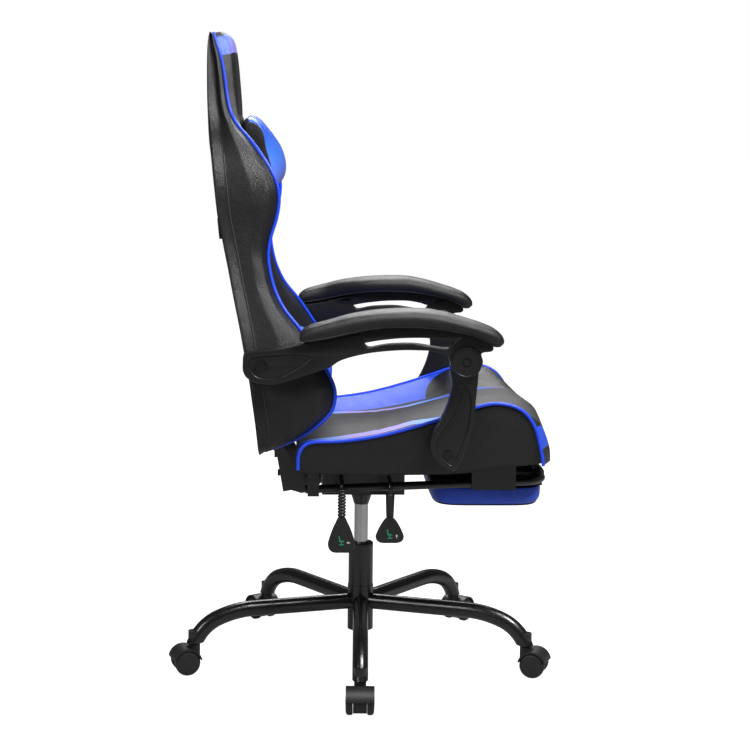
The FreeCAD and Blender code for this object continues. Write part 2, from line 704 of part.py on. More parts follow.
node(fuse(shaped("height_rod", lever_rod(size("dims.height_lever_x"))), lever_pin("dims.height_lever_x")),
     "height_lever_rod")
node(paddle("height_paddle", "dims.height_lever_x", 62, 27, 54), "height_lever_paddle")
node(fuse(shaped("recline_rod", lever_rod(size("dims.recline_lever_x"))), lever_pin("dims.recline_lever_x")),
     "recline_lever_rod")
node(paddle("recline_paddle", "dims.recline_lever_x", 62, 26, 73), "recline_lever_paddle")
bellows_section = [("dims.lever_rod_radius + dims.running_gap", "dims.lever_level - 61.7")]
RIBS = 8
RIB_PITCH = 4.8
for i in range(RIBS):
    low = -61.7 + i * RIB_PITCH
    bellows_section.append(("dims.sleeve_radius - 1.6", f"dims.lever_level + ({low:.2f})"))
    bellows_section.append(("dims.sleeve_radius", f"dims.lever_level + ({low + RIB_PITCH / 2:.2f})"))
bellows_top = -61.7 + RIBS * RIB_PITCH
bellows_section.append(("dims.sleeve_radius - 1.6", f"dims.lever_level + ({bellows_top:.2f})"))
bellows_section.append(("dims.lever_rod_radius + dims.running_gap", f"dims.lever_level + ({bellows_top:.2f})"))
bellows = turned("recline_bellows_turned", bellows_section,
                 ("dims.recline_lever_x", "-dims.lever_reach", 0))
node(bellows, "recline_lever_bellows")

# ---------------------------------------------------------------- back bracket
# Two bent plates joined by a cross plate; they carry the back on the hinge.
bracket_parts = []
for side in (-1, 1):
    low = f"{side} * dims.bracket_half_spacing - dims.bracket_plate / 2"
    bracket_parts.append(slab(f"bracket_{'right' if side < 0 else 'left'}",
                              from_datum("dims.hinge_x", "dims.hinge_level", [
        (14, -8), (2, -22), (-22, -27), (-42, -21), (-58, -24), (-70, 45), (-90, 85), (-103, 168),
        (-90, 168), (-76, 85), (-50, 57), (-30, 22), (-4, 16), (12, 8),
    ]), low, f"{low} + dims.bracket_plate"))
cross_plate = slab("bracket_cross", from_datum("dims.hinge_x", "dims.hinge_level", [
    (-58, -24), (-70, 45), (-66, 45), (-54, -24),
]), "-dims.bracket_half_spacing", "dims.bracket_half_spacing")
hinge_space = cylinder("dims.hinge_radius + dims.running_gap", "500", "dims.hinge_x", -250,
                       "dims.hinge_level", "y")
node(cut(fuse(*bracket_parts, cross_plate), hinge_space), "back_bracket")


# ---------------------------------------------------------------- back frame
# Its two feet stand against the outer faces of the bracket's plates.
bracket_outer = "dims.bracket_half_spacing + dims.bracket_plate / 2"
def back_frame_shape():
    """A steel tube up one side of the leaning back, across, and down again."""
    lean = math.radians(size("dims.back_lean"))
    foot = Vector(size("dims.frame_foot_x"), 0, size("dims.frame_foot_level"))
    up = Vector(-math.sin(lean), 0, math.cos(lean)) * size("dims.frame_length")
    beside = Vector(0, size(f"{bracket_outer} + dims.soft_gap + dims.frame_tube_radius"), 0)
    corner = size("dims.frame_corner")
    points = [foot - beside, foot - beside + up, foot + beside + up, foot + beside]
    return pipe(points, size("dims.frame_tube_radius"), [corner, corner])


node(shaped("back_tube", back_frame_shape()), "back_frame")

# ---------------------------------------------------------------- back cushion
# The centre pad lies in front of the frame and the rear cover behind it; the
# wings are as deep as the whole back.
frame_half_depth = "(dims.frame_tube_radius / cos(dims.back_lean * 1deg) + dims.soft_gap)"


def beside_frame(z, side):
    """A point that clears the frame's front (1) or rear (-1) at a height above the hinge."""
    level = f"(dims.hinge_level + {z} - dims.frame_foot_level)"
    x = f"dims.frame_foot_x - {level} * tan(dims.back_lean * 1deg) + ({side}) * {frame_half_depth}"
    return x, f"dims.hinge_level + {z}"


centre_rear = [beside_frame(z, 1) for z in (84, 365, 732)]
centre_front = from_datum("dims.hinge_x", "dims.hinge_level", [
    (-186, 790), (-198, 830), (-201, 850), (-196, 867), (-181, 867), (-163, 861), (-154, 850),
    (-150, 811), (-147, 773), (-141, 705), (-138, 640), (-122, 540), (-96, 420), (-70, 300),
    (-50, 200), (-46, 130), (-60, 84),
])
node(slab("back_centre_foam", centre_rear + centre_front,
          "-dims.back_centre_width / 2", "dims.back_centre_width / 2"), "back_centre_pad")
cover_front = [beside_frame(z, -1) for z in (724, 77)]
cover_rear = from_datum("dims.hinge_x", "dims.hinge_level", [
    (-104, 75), (-119, 205), (-138, 309), (-158, 405), (-174, 485), (-185, 565), (-195, 641),
    (-202, 697), (-204, 835), (-201.5, 848), (-198.5, 829), (-187, 790),
])
node(slab("back_rear_cover_panel", cover_front + cover_rear,
          "-dims.back_centre_width / 2", "dims.back_centre_width / 2"), "back_rear_cover")
wing_inner = "dims.back_centre_width / 2 + dims.soft_gap"
for name, low, high in (("left", wing_inner, "dims.back_width / 2"),
                        ("right", "-dims.back_width / 2", f"-({wing_inner})")):
    wing = slab(f"back_wing_foam_{name}", from_datum("dims.hinge_x", "dims.hinge_level", [
        (-104, 77), (-119, 205), (-138, 309), (-160, 418), (-180, 519), (-190, 625), (-178, 661),
        (-122, 663), (-99, 634), (-81, 606), (-70, 579), (-68, 551), (-82, 489), (-88, 457),
        (-84, 418), (-60, 355), (-27, 309), (10, 258), (34, 215), (39, 187), (31, 159), (7, 134),
        (-26, 111), (-73, 83),
    ]), low, high)
    node(wing, f"back_bolster_{name}")

# ---------------------------------------------------------------- cushions on straps
node(slab("neck_pillow_fill", from_datum("dims.hinge_x", "dims.hinge_level", [
    (-139.5, 684), (-130, 704), (-107, 694), (-88, 671), (-68, 646), (-58, 622), (-56, 600),
    (-62, 578), (-78, 562), (-125.5, 564), (-137.6, 640),
]), -148, 148), "neck_pillow")
node(slab("lumbar_pillow_fill", from_datum("dims.hinge_x", "dims.hinge_level", [
    (-60.6, 255), (-50.4, 206), (-47.6, 176), (-32, 154), (0, 150), (26, 166), (38, 194), (38, 220),
    (25, 246), (0, 265), (-30, 277), (-54, 276), (-62.6, 265),
]), -146, 146), "lumbar_pillow")
# The webbing lies on the rear cover and runs straight across its hollow.
webbing = [(-104.4, 78), (-174.5, 481), (-185.4, 566), (-195.4, 642), (-198.2, 665)]
webbing += [(x - 2.5, z) for x, z in reversed(webbing)]
strap = slab("pillow_strap_webbing", from_datum("dims.hinge_x", "dims.hinge_level", webbing),
             "-dims.strap_width / 2", "dims.strap_width / 2")
buckle = slab("pillow_strap_buckle", from_datum("dims.hinge_x", "dims.hinge_level", [
    (-174, 463), (-180.5, 505), (-190, 503), (-186, 463),
]), "-dims.strap_width / 2 - 5", "dims.strap_width / 2 + 5")
node(fuse(strap, buckle), "pillow_strap")

# ---------------------------------------------------------------- armrests
# The arm turns on the side of the back and meets the post at the disc, where
# the post's boss has play in an open hole.
arm_near = f"max({post_far} + 2 * dims.side_gap; dims.back_width / 2 + dims.arm_stand)"
arm_far = f"{arm_near} + dims.arm_thick"
arm_pad_centre = f"{arm_near} + dims.arm_thick / 2"
frame_outline = from_datum("dims.arm_pivot_x", "dims.arm_pivot_level", [
    (-33, 6), (-32, 19), (-23, 27), (17, 30), (53, 35), (77, 42), (84, 45), (126, 50), (180, 62),
    (191, 39), (200, 33), (228, 39), (255, 42), (283, 41), (311, 37), (338, 33), (348, 35),
    (351, 42), (376, 61), (401, 54), (427, 38), (426, 28), (404, 26), (408, 9), (400, -9),
    (377, -20), (354, -9), (348, 10), (344, 20), (329, 25), (311, 29), (292, 30), (255, 30),
    (209, 26), (173, 19), (145, 10), (127, -2), (108, -8), (72, -21), (35, -33), (13, -35),
    (-11, -31), (-27, -21), (-33, -8),
])
pad_outline = from_datum("dims.arm_pivot_x", "dims.arm_pivot_level", [
    (73, 50), (77, 65), (93, 76), (126, 87), (163, 97), (209, 104), (254, 107), (300, 107),
    (337, 101), (374, 90), (402, 81), (426, 70), (440, 59), (444, 50), (440, 38), (427, 38),
    (401, 54), (376, 61), (340, 66), (300, 69), (254, 70), (216, 68), (180, 62), (126, 50),
    (84, 45),
])
carrier_outline = from_datum("dims.arm_pivot_x", "dims.arm_pivot_level", [
    (180.6, 63), (191.4, 40.4), (218, 46), (255, 51), (292, 53), (312, 52), (338, 46),
    (350.4, 42.2), (375, 62), (340, 68), (300, 71), (254, 72), (216, 70),
])
post_outline = from_datum("dims.post_pivot_x", "dims.post_pivot_level", [
    (2, 179), (0, 172), (3, 153), (6, 135), (4, 116), (-4, 88), (-16, 62), (-27, 46), (-33, 28),
    (-34, 13), (-28, -4), (-15, -18), (0, -29), (10, -35), (21, -18), (31, 3), (40, 32), (47, 60),
    (50, 97), (53, 135), (55, 161), (57, 179), (50, 199), (28, 208), (8, 199),
])
FAR = 700
for side, name in ((1, "left"), (-1, "right")):
    def across(inner, outer):
        """The low and high y of a piece that lies between two distances."""
        return (inner, outer) if side > 0 else (f"-({outer})", f"-({inner})")

    def bar(radius, inner, outer, x, z):
        low, high = across(inner, outer)
        return cylinder(radius, f"({high}) - ({low})", x, low, z, "y")

    arm = slab(f"arm_frame_moulding_{name}", frame_outline, *across(arm_near, arm_far))
    stand_off = bar("16", "dims.back_width / 2 + dims.soft_gap", f"{arm_near} + 1",
                    "dims.arm_pivot_x", "dims.arm_pivot_level")
    pivot_bore = bar("dims.arm_bolt_radius + dims.running_gap", "200", str(FAR),
                     "dims.arm_pivot_x", "dims.arm_pivot_level")
    play_hole = bar("dims.disc_boss_radius + dims.disc_play", "200", str(FAR),
                    "dims.disc_x", "dims.disc_level")
    node(cut(fuse(arm, stand_off), pivot_bore, play_hole), f"arm_frame_{name}")
    cushion = slab(f"arm_pad_foam_{name}", pad_outline,
                   *across(f"{arm_pad_centre} - dims.arm_pad_width / 2",
                           f"{arm_pad_centre} + dims.arm_pad_width / 2"))
    low, high = across("200", arm_near)
    wing_space = box((-FAR, "dims.arm_pivot_x + 144"), (low, high), (0, 2 * FAR))
    frame_space = slab(f"arm_frame_space_{name}", frame_outline, *across("200", str(FAR)))
    carrier = slab(f"arm_pad_carrier_{name}", carrier_outline, *across(arm_near, arm_far))
    node(cut(fuse(cushion, carrier), wing_space, frame_space), f"arm_pad_{name}")
    post = slab(f"arm_post_moulding_{name}", post_outline, *across(post_near, post_far))
    foot_boss = bar("14", "dims.seat_width / 2 + dims.side_gap", f"{post_near} + 1",
                    "dims.post_pivot_x", "dims.post_pivot_level")
    head_boss = bar("dims.disc_boss_radius", f"{post_far} - 1", f"{arm_far} + dims.side_gap",
                    "dims.disc_x", "dims.disc_level")
    post_bore = bar("dims.arm_bolt_radius + dims.running_gap", "200", str(FAR),
                    "dims.post_pivot_x", "dims.post_pivot_level")
    node(cut(fuse(post, foot_boss, head_boss), post_bore), f"arm_post_{name}")
    node(bar("dims.disc_radius", f"{arm_far} + dims.side_gap",
             f"{arm_far} + dims.side_gap + dims.disc_thick", "dims.disc_x", "dims.disc_level"),
         f"pivot_cap_{name}")

# ---------------------------------------------------------------- back bolts
back_bolts = []
for z, x in ((5, -64.2), (42, -70.7)):
    for y in (-70, 70):
        back_bolts.append(cylinder("dims.bolt_head_radius", "dims.bolt_head_height",
                                   f"dims.hinge_x + ({x} - 5)", y, f"dims.hinge_level + {z}", "x"))
for side in (-1, 1):
    low = "dims.back_width / 2" if side > 0 else f"-({arm_far})"
    back_bolts.append(cylinder("dims.arm_bolt_radius", f"{arm_far} - dims.back_width / 2",
                               "dims.arm_pivot_x", low, "dims.arm_pivot_level", "y"))
    head = arm_far if side > 0 else f"-({arm_far}) - 3"
    back_bolts.append(cylinder("dims.arm_bolt_head", 3, "dims.arm_pivot_x", head,
                               "dims.arm_pivot_level", "y"))
node(fuse(*back_bolts), "back_bolts")

# ---------------------------------------------------------------- write
doc.recompute()
for obj in doc.Objects:
    if "Invalid" in obj.State or "Error" in obj.State:
        raise SystemExit(f"{obj.Label} ({obj.Name}) failed: {obj.State}")
os.makedirs("parts", exist_ok=True)
for piece in nodes:
    if piece.Shape.isNull() or not piece.Shape.isValid() or piece.Shape.Volume <= 0:
        raise SystemExit(f"{piece.Label} has no valid shape")
for piece in nodes:
    piece.Shape.exportStep(f"parts/{piece.Label}.step")
print(len(nodes), "pieces")
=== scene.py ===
# Gaming chair: the looks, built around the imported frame. Metres; +X front, +Y the chair's left, +Z up.
import json
import math

import bmesh
import bpy
import numpy as np
from mathutils import Euler, Matrix, Vector


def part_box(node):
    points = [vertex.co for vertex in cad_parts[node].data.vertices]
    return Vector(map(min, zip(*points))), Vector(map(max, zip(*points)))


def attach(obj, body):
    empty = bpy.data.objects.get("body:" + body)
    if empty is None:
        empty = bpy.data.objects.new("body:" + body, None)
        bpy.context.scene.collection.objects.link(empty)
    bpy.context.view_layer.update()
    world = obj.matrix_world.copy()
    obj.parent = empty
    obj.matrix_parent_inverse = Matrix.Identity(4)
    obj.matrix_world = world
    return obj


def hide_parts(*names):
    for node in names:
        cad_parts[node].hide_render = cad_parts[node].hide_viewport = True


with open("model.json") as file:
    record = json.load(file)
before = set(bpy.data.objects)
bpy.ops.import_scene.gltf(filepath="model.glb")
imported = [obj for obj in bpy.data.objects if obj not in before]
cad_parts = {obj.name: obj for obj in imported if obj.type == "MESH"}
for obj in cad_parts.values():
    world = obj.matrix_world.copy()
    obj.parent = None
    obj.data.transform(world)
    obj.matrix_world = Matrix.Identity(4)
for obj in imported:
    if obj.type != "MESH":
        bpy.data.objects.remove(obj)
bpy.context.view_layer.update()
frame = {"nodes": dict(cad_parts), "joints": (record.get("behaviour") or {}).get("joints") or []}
NODES = frame["nodes"]

# ------------------------------------------------------------------ studio
# A matt grey floor and a white surround, both shown plain white to the camera,
# and three soft lights. The camera stands above the arm pads, nearly square to
# the chair's right-hand side, and looks slightly down.
CAMERA_PLACE = Vector((-0.146, -3.809, 1.154))
CAMERA_YAW = math.radians(2.57)
CAMERA_PITCH = math.radians(8.48)
CAMERA_ROLL = 0.0109
CAMERA_LENS = 92.16
STUDIO_GLOW = 0.08
AIM = (0, 0, 0.7)


def new_material(name, colour=(0.5, 0.5, 0.5), rough=0.5):
    """A material whose Principled shader has its plain values set."""
    material = bpy.data.materials.new(name)
    material.use_nodes = True
    shader = material.node_tree.nodes["Principled BSDF"]
    shader.inputs["Base Color"].default_value = (*colour, 1)
    shader.inputs["Roughness"].default_value = rough
    return material, material.node_tree, shader


def add_node(tree, kind, **values):
    """A shader node with some of its input sockets set by name."""
    made = tree.nodes.new(kind)
    for socket, value in values.items():
        made.inputs[socket.replace("_", " ")].default_value = value
    return made


camera = bpy.data.objects.new("camera", bpy.data.cameras.new("camera"))
camera.data.lens = CAMERA_LENS
camera.location = CAMERA_PLACE
aim = Euler((math.pi / 2 - CAMERA_PITCH, 0, -CAMERA_YAW)).to_matrix()
camera.rotation_euler = (aim @ Matrix.Rotation(CAMERA_ROLL, 3, "Z")).to_euler()
bpy.context.scene.collection.objects.link(camera)
bpy.context.scene.camera = camera


def white_to_camera(tree, strength):
    """Full strength for what the camera sees, a faint glow for everything else."""
    seen = tree.nodes.new("ShaderNodeLightPath")
    level = tree.nodes.new("ShaderNodeMapRange")
    level.inputs["To Min"].default_value = STUDIO_GLOW
    level.inputs["To Max"].default_value = 1.0
    tree.links.new(seen.outputs["Is Camera Ray"], level.inputs["Value"])
    tree.links.new(level.outputs["Result"], strength)


floor_paint, floor_tree, floor_shader = new_material("studio_floor", (0.22, 0.22, 0.22), 0.7)
floor_tone = add_node(floor_tree, "ShaderNodeTexNoise", Scale=3.0)
floor_ramp = floor_tree.nodes.new("ShaderNodeMapRange")
floor_ramp.inputs["To Min"].default_value = 0.62
floor_ramp.inputs["To Max"].default_value = 0.78
floor_tree.links.new(floor_tone.outputs["Fac"], floor_ramp.inputs["Value"])
floor_tree.links.new(floor_ramp.outputs["Result"], floor_shader.inputs["Roughness"])
floor_shader.inputs["Emission Color"].default_value = (1, 1, 1, 1)
white_to_camera(floor_tree, floor_shader.inputs["Emission Strength"])
bpy.ops.mesh.primitive_plane_add(size=60)
floor = bpy.context.object
floor.name = "studio_floor"
floor.data.materials.append(floor_paint)

world = bpy.data.worlds.new("studio")
world.use_nodes = True
backdrop = world.node_tree.nodes["Background"]
backdrop.inputs["Color"].default_value = (1, 1, 1, 1)
white_to_camera(world.node_tree, backdrop.inputs["Strength"])
bpy.context.scene.world = world
bpy.context.scene.view_settings.view_transform = "Standard"


def soft_light(name, place, width, watts):
    """A square area light that looks at the middle of the chair."""
    light = bpy.data.lights.new(name, "AREA")
    light.size = width
    light.energy = watts
    lamp = bpy.data.objects.new(name, light)
    lamp.location = place
    lamp.rotation_euler = (Vector(AIM) - Vector(place)).to_track_quat("-Z", "Y").to_euler()
    bpy.context.scene.collection.objects.link(lamp)


soft_light("key_light", (1.3, -1.5, 3.1), 1.2, 175)
soft_light("fill_light", (-2.2, -2.6, 2.2), 1.0, 36)
soft_light("rim_light", (0.2, 2.2, 2.9), 1.6, 95)

# ------------------------------------------------------------------ black steel
# The base, mechanism, brackets and footrest tube are bent and welded steel
# under a satin black powder coat, which leaves a faint orange peel.


def surface_group(name, build, values, results):
    """A node group with named inputs and outputs: build adds its nodes and links."""
    group = bpy.data.node_groups.new(name, "ShaderNodeTree")
    for socket, value in values.items():
        made = group.interface.new_socket(socket, in_out="INPUT", socket_type="NodeSocketFloat")
        made.default_value = value
    for socket in results:
        group.interface.new_socket(socket, in_out="OUTPUT", socket_type="NodeSocketFloat")
    place = group.nodes.new("ShaderNodeTexCoord").outputs["Object"]
    build(group, place, group.nodes.new("NodeGroupInput"), group.nodes.new("NodeGroupOutput"))
    return group


def build_mottle(group, place, start, end):
    """Two sizes of noise: a slow drift for tone, a fine one for height."""
    drift = group.nodes.new("ShaderNodeTexNoise")
    fine = group.nodes.new("ShaderNodeTexNoise")
    level = group.nodes.new("ShaderNodeMapRange")
    for noise, scale in ((drift, "Drift Scale"), (fine, "Fine Scale")):
        group.links.new(place, noise.inputs["Vector"])
        group.links.new(start.outputs[scale], noise.inputs["Scale"])
    group.links.new(drift.outputs["Fac"], level.inputs["Value"])
    group.links.new(start.outputs["Low"], level.inputs["To Min"])
    group.links.new(start.outputs["High"], level.inputs["To Max"])
    group.links.new(level.outputs["Result"], end.inputs["Tone"])
    group.links.new(fine.outputs["Fac"], end.inputs["Height"])


mottle = surface_group("mottle", build_mottle,
                       {"Drift Scale": 8.0, "Fine Scale": 400.0, "Low": 0.3, "High": 0.5}, ("Tone", "Height"))


def use_group(tree, group, **values):
    """Place a node group in a material with its own values."""
    made = tree.nodes.new("ShaderNodeGroup")
    made.node_tree = group
    for name, value in values.items():
        made.inputs[name.replace("_", " ")].default_value = value
    return made


def bump(tree, shader, height, distance, strength=1.0):
    """Feed a height to the shader's normal."""
    made = tree.nodes.new("ShaderNodeBump")
    made.inputs["Strength"].default_value = strength
    made.inputs["Distance"].default_value = distance
    tree.links.new(height, made.inputs["Height"])
    tree.links.new(made.outputs["Normal"], shader.inputs["Normal"])


def mottled_material(name, colour, low, high, fine_scale, depth, drift_scale=8.0, metal=0.0, coat=0.0):
    """A painted, plated or moulded finish: uneven gloss and a fine texture."""
    material, tree, shader = new_material(name, colour)
    shader.inputs["Metallic"].default_value = metal
    shader.inputs["Coat Weight"].default_value = coat
    shader.inputs["Coat Roughness"].default_value = 0.12
    marks = use_group(tree, mottle, Drift_Scale=drift_scale, Fine_Scale=fine_scale, Low=low, High=high)
    tree.links.new(marks.outputs["Tone"], shader.inputs["Roughness"])
    bump(tree, shader, marks.outputs["Height"], depth)
    return material


DEEP_BLACK = (0.008, 0.008, 0.0085)
powder_coat = mottled_material("powder_coat", (0.006, 0.006, 0.0065), 0.2, 0.32, 500, 0.0003, coat=0.3)
chrome = mottled_material("chrome_cylinder", (0.5, 0.5, 0.51), 0.16, 0.26, 900, 0.00005, 30, metal=1.0)
zinc = mottled_material("zinc_plate", (0.5, 0.5, 0.52), 0.3, 0.5, 900, 0.0001, 60, metal=1.0)
nylon = mottled_material("moulded_nylon", (0.009, 0.009, 0.0095), 0.36, 0.52, 1500, 0.0002)
gloss_plastic = mottled_material("arm_plastic", DEEP_BLACK, 0.24, 0.36, 1100, 0.00025)


def finish_node(material, *names):
    """Give CAD nodes their finish."""
    for name in names:
        mesh = NODES[name].data
        mesh.materials.clear()
        mesh.materials.append(material)


STEEL_NODES = ["base_hub", "gas_tube", "mechanism_plate", "back_bracket", "back_frame",
               "footrest_frame", "rail_hangers", "footrest_clamps"]
finish_node(powder_coat, *STEEL_NODES, *[f"base_leg_{k}" for k in range(1, 6)])

# ------------------------------------------------------------------ column and casters
# A chromed gas cylinder slides in a painted tube with a plastic guide on
# top. Each caster is moulded nylon: a hood on a steel stem, two wheels.
finish_node(chrome, "gas_cylinder")
finish_node(zinc, "piston_rod", "recline_hinge_pin", *[f"caster_stem_{k}" for k in range(1, 6)])
finish_node(nylon, "gas_tube_collar", *[f"caster_hood_{k}" for k in range(1, 6)],
            *[f"caster_wheels_{k}" for k in range(1, 6)])
# Each hood's CAD node has a thin loose sliver under the floor; the hood is shown without it.
FLOOR_CLEARANCE = 0.001
for k in range(1, 6):
    mesh = NODES[f"caster_hood_{k}"].data.copy()
    cleared = bmesh.new()
    cleared.from_mesh(mesh)
    bmesh.ops.delete(cleared, geom=[v for v in cleared.verts if v.co.z < FLOOR_CLEARANCE], context="VERTS")
    cleared.to_mesh(mesh)
    cleared.free()
    hood = bpy.data.objects.new(f"caster_hood_shell_{k}", mesh)
    bpy.context.scene.collection.objects.link(hood)
    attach(hood, f"caster_{k}")
    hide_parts(f"caster_hood_{k}")

# ------------------------------------------------------------------ leather
# The covers are PVC leather: a fine pebbled grain over slow ripples, in
# black, in royal blue, and in a printed blue that drifts to violet. On the head
# band, the violet and rose towards the front also paint the highlight of the head's curved front.


def arithmetic(tree, operation, *values):
    """One sum in a material: sockets or numbers in, a socket out."""
    made = tree.nodes.new("ShaderNodeMath")
    made.operation = operation
    for k, value in enumerate(values):
        if isinstance(value, (int, float)):
            made.inputs[k].default_value = value
        else:
            tree.links.new(value, made.inputs[k])
    return made.outputs["Value"]


def build_leather(group, place, start, end):
    """Grain and soft ripples: a height, a roughness and a tone of 0 to 1."""
    grain = group.nodes.new("ShaderNodeTexVoronoi")
    ripple = group.nodes.new("ShaderNodeTexNoise")
    rough = group.nodes.new("ShaderNodeMapRange")
    for texture, scale in ((grain, "Grain Scale"), (ripple, "Ripple Scale")):
        group.links.new(place, texture.inputs["Vector"])
        group.links.new(start.outputs[scale], texture.inputs["Scale"])
    scaled = arithmetic(group, "MULTIPLY", ripple.outputs["Fac"], start.outputs["Ripple"])
    group.links.new(arithmetic(group, "ADD", scaled, grain.outputs["Distance"]), end.inputs["Height"])
    group.links.new(ripple.outputs["Fac"], rough.inputs["Value"])
    group.links.new(start.outputs["Rough Low"], rough.inputs["To Min"])
    group.links.new(start.outputs["Rough High"], rough.inputs["To Max"])
    group.links.new(rough.outputs["Result"], end.inputs["Rough"])
    group.links.new(ripple.outputs["Fac"], end.inputs["Tone"])


leather = surface_group("leather_grain", build_leather, {
    "Grain Scale": 700.0, "Ripple Scale": 22.0, "Ripple": 3.0, "Rough Low": 0.3, "Rough High": 0.45,
}, ("Height", "Rough", "Tone"))


def leather_base(name, low, high, ripple_scale, ripple, depth, gloss=0.5, colour=(0.5, 0.5, 0.5)):
    """Faux leather's grain, ripples and roughness, ready for its colour."""
    material, tree, shader = new_material(name, colour)
    shader.inputs["Specular IOR Level"].default_value = gloss
    marks = use_group(tree, leather, Ripple_Scale=ripple_scale, Ripple=ripple, Rough_Low=low, Rough_High=high)
    tree.links.new(marks.outputs["Rough"], shader.inputs["Roughness"])
    bump(tree, shader, marks.outputs["Height"], depth)
    return material, tree, shader, marks


def leather_material(name, colour, low, high, depth=0.0005, ripple=4.0):
    """Faux leather of one colour."""
    return leather_base(name, low, high, 22.0, ripple, depth, 0.45, colour)[0]


def object_axes(tree):
    """The object's own X, Y and Z, as sockets."""
    place = tree.nodes.new("ShaderNodeTexCoord")
    axes = tree.nodes.new("ShaderNodeSeparateXYZ")
    tree.links.new(place.outputs["Object"], axes.inputs["Vector"])
    return axes.outputs


def colour_ramp(tree, stops, factor):
    """The printed colours, from stops of a position and a colour."""
    ramp = tree.nodes.new("ShaderNodeValToRGB")
    while len(ramp.color_ramp.elements) < len(stops):
        ramp.color_ramp.elements.new(0.5)
    for element, (position, colour) in zip(ramp.color_ramp.elements, stops):
        element.position = position
        element.color = (*colour, 1)
    tree.links.new(factor, ramp.inputs["Fac"])
    return ramp.outputs["Color"]


def masked_colour(tree, shader, mask, ground):
    """Colour the leather with the ground; the returned socket's colour shows where the mask is 1."""
    mix = tree.nodes.new("ShaderNodeMix")
    mix.data_type = "RGBA"
    mix.inputs["A"].default_value = (*ground, 1)
    tree.links.new(mask, mix.inputs["Factor"])
    tree.links.new(mix.outputs["Result"], shader.inputs["Base Color"])
    return mix.inputs["B"]


def printed_material(name, stops, along, start, end, low=0.22, high=0.34):
    """Faux leather printed with a sheen that drifts through several colours."""
    material, tree, shader, marks = leather_base(name, low, high, 14.0, 4.0, 0.0004)
    span = tree.nodes.new("ShaderNodeMapRange")
    span.inputs["From Min"].default_value = start
    span.inputs["From Max"].default_value = end
    tree.links.new(object_axes(tree)[along], span.inputs["Value"])
    drift = arithmetic(tree, "MULTIPLY_ADD", marks.outputs["Tone"], 0.25, span.outputs["Result"])
    tree.links.new(colour_ramp(tree, stops, drift), shader.inputs["Base Color"])
    return material


STRIPE_START, STRIPE_SPAN = -0.2, 0.6


def seat_top_material(name, ground, stops, bend, inset, rear_slope, front_slope, width):
    """Matt leather with a bent stripe along each side, printed in drifting colours."""
    material, tree, shader, _ = leather_base(name, 0.5, 0.66, 30.0, 3.0, 0.0004, 0.35)
    axes = object_axes(tree)
    ahead = arithmetic(tree, "SUBTRACT", axes["X"], bend)
    rear = arithmetic(tree, "MULTIPLY", arithmetic(tree, "MINIMUM", ahead, 0.0), -rear_slope)
    front = arithmetic(tree, "MULTIPLY", arithmetic(tree, "MAXIMUM", ahead, 0.0), front_slope)
    line = arithmetic(tree, "ADD", arithmetic(tree, "ADD", rear, front), inset)
    aside = arithmetic(tree, "ABSOLUTE", axes["Y"])
    off = arithmetic(tree, "ABSOLUTE", arithmetic(tree, "SUBTRACT", aside, line))
    stripe = arithmetic(tree, "LESS_THAN", off, width / 2)
    from_rear = arithmetic(tree, "ADD", axes["X"], -STRIPE_START)
    share = arithmetic(tree, "DIVIDE", from_rear, STRIPE_SPAN)
    spaced = [((x - STRIPE_START) / STRIPE_SPAN, colour) for x, colour in stops]
    tree.links.new(colour_ramp(tree, spaced, share), masked_colour(tree, shader, stripe, ground))
    return material


def bolster_material(name, front, level, lean):
    """Blue leather behind a curved seam line, black in front of it."""
    material, tree, shader, _ = leather_base(name, 0.32, 0.46, 22.0, 4.0, 0.0005)
    axes = object_axes(tree)
    rise = arithmetic(tree, "MAXIMUM", arithmetic(tree, "SUBTRACT", axes["Z"], level), 0.0)
    curve = arithmetic(tree, "MULTIPLY", arithmetic(tree, "MULTIPLY", rise, rise), lean)
    behind = arithmetic(tree, "LESS_THAN", axes["X"], arithmetic(tree, "ADD", curve, front))
    masked_colour(tree, shader, behind, DEEP_BLACK).default_value = (*BLUE, 1)
    return material


BLUE = (0.018, 0.075, 0.62)
PALE_BLUE = (0.16, 0.32, 0.78)
VIOLET = (0.30, 0.24, 0.62)
ROSE = (0.55, 0.32, 0.6)
black_leather = leather_material("black_leather", DEEP_BLACK, 0.3, 0.46)
blue_leather = leather_material("blue_leather", BLUE, 0.3, 0.44)
piping_leather = leather_material("piping_leather", (0.012, 0.06, 0.72), 0.3, 0.4, 0.0002, 2.0)
seat_print = seat_top_material("seat_top_leather", (0.03, 0.03, 0.032), [
    (-0.13, BLUE), (-0.07, PALE_BLUE), (-0.02, VIOLET), (0.07, VIOLET), (0.11, PALE_BLUE), (0.2, BLUE),
], 0.095, 0.098, 0.34, 0.36, 0.03)
bolster_leather = bolster_material("bolster_leather", 0.139, 0.513, 24.0)
panel_print = printed_material("panel_print", [
    (0.1, BLUE), (0.45, (0.03, 0.13, 0.6)), (0.7, PALE_BLUE), (0.95, ROSE),
], "X", -0.24, -0.12, 0.16, 0.3)
# Head band: printed blue that turns violet and rose towards the front; that violet and rose front end is a
# painted highlight of the head's curved front face.
head_print_and_highlight = printed_material("head_print_and_highlight", [
    (0.1, BLUE), (0.62, (0.03, 0.1, 0.6)), (0.88, VIOLET), (1.0, ROSE),
], "X", -0.30, -0.235)
thread = mottled_material("black_thread", (0.03, 0.03, 0.03), 0.6, 0.8, 1200, 0.0002)

# ------------------------------------------------------------------ seat cover
# The cover is sewn over moulded foam: a flat centre, two raised bolsters and
# side panels. A blue piping cord is sewn into each side edge, and the top's
# leather is printed with a bent stripe along each side.
SEAT_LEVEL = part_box("seat_board")[0].z
SEAT_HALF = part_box("seat_bolster_left")[1].y
MM = 0.001


def bend(a, b, c, d, t):
    """A point between b and c on the smooth curve that also heeds a and d."""
    return 0.5 * (2 * b + (c - a) * t + (2 * a - 5 * b + 4 * c - d) * t ** 2
                  + (3 * b - a - 3 * c + d) * t ** 3)


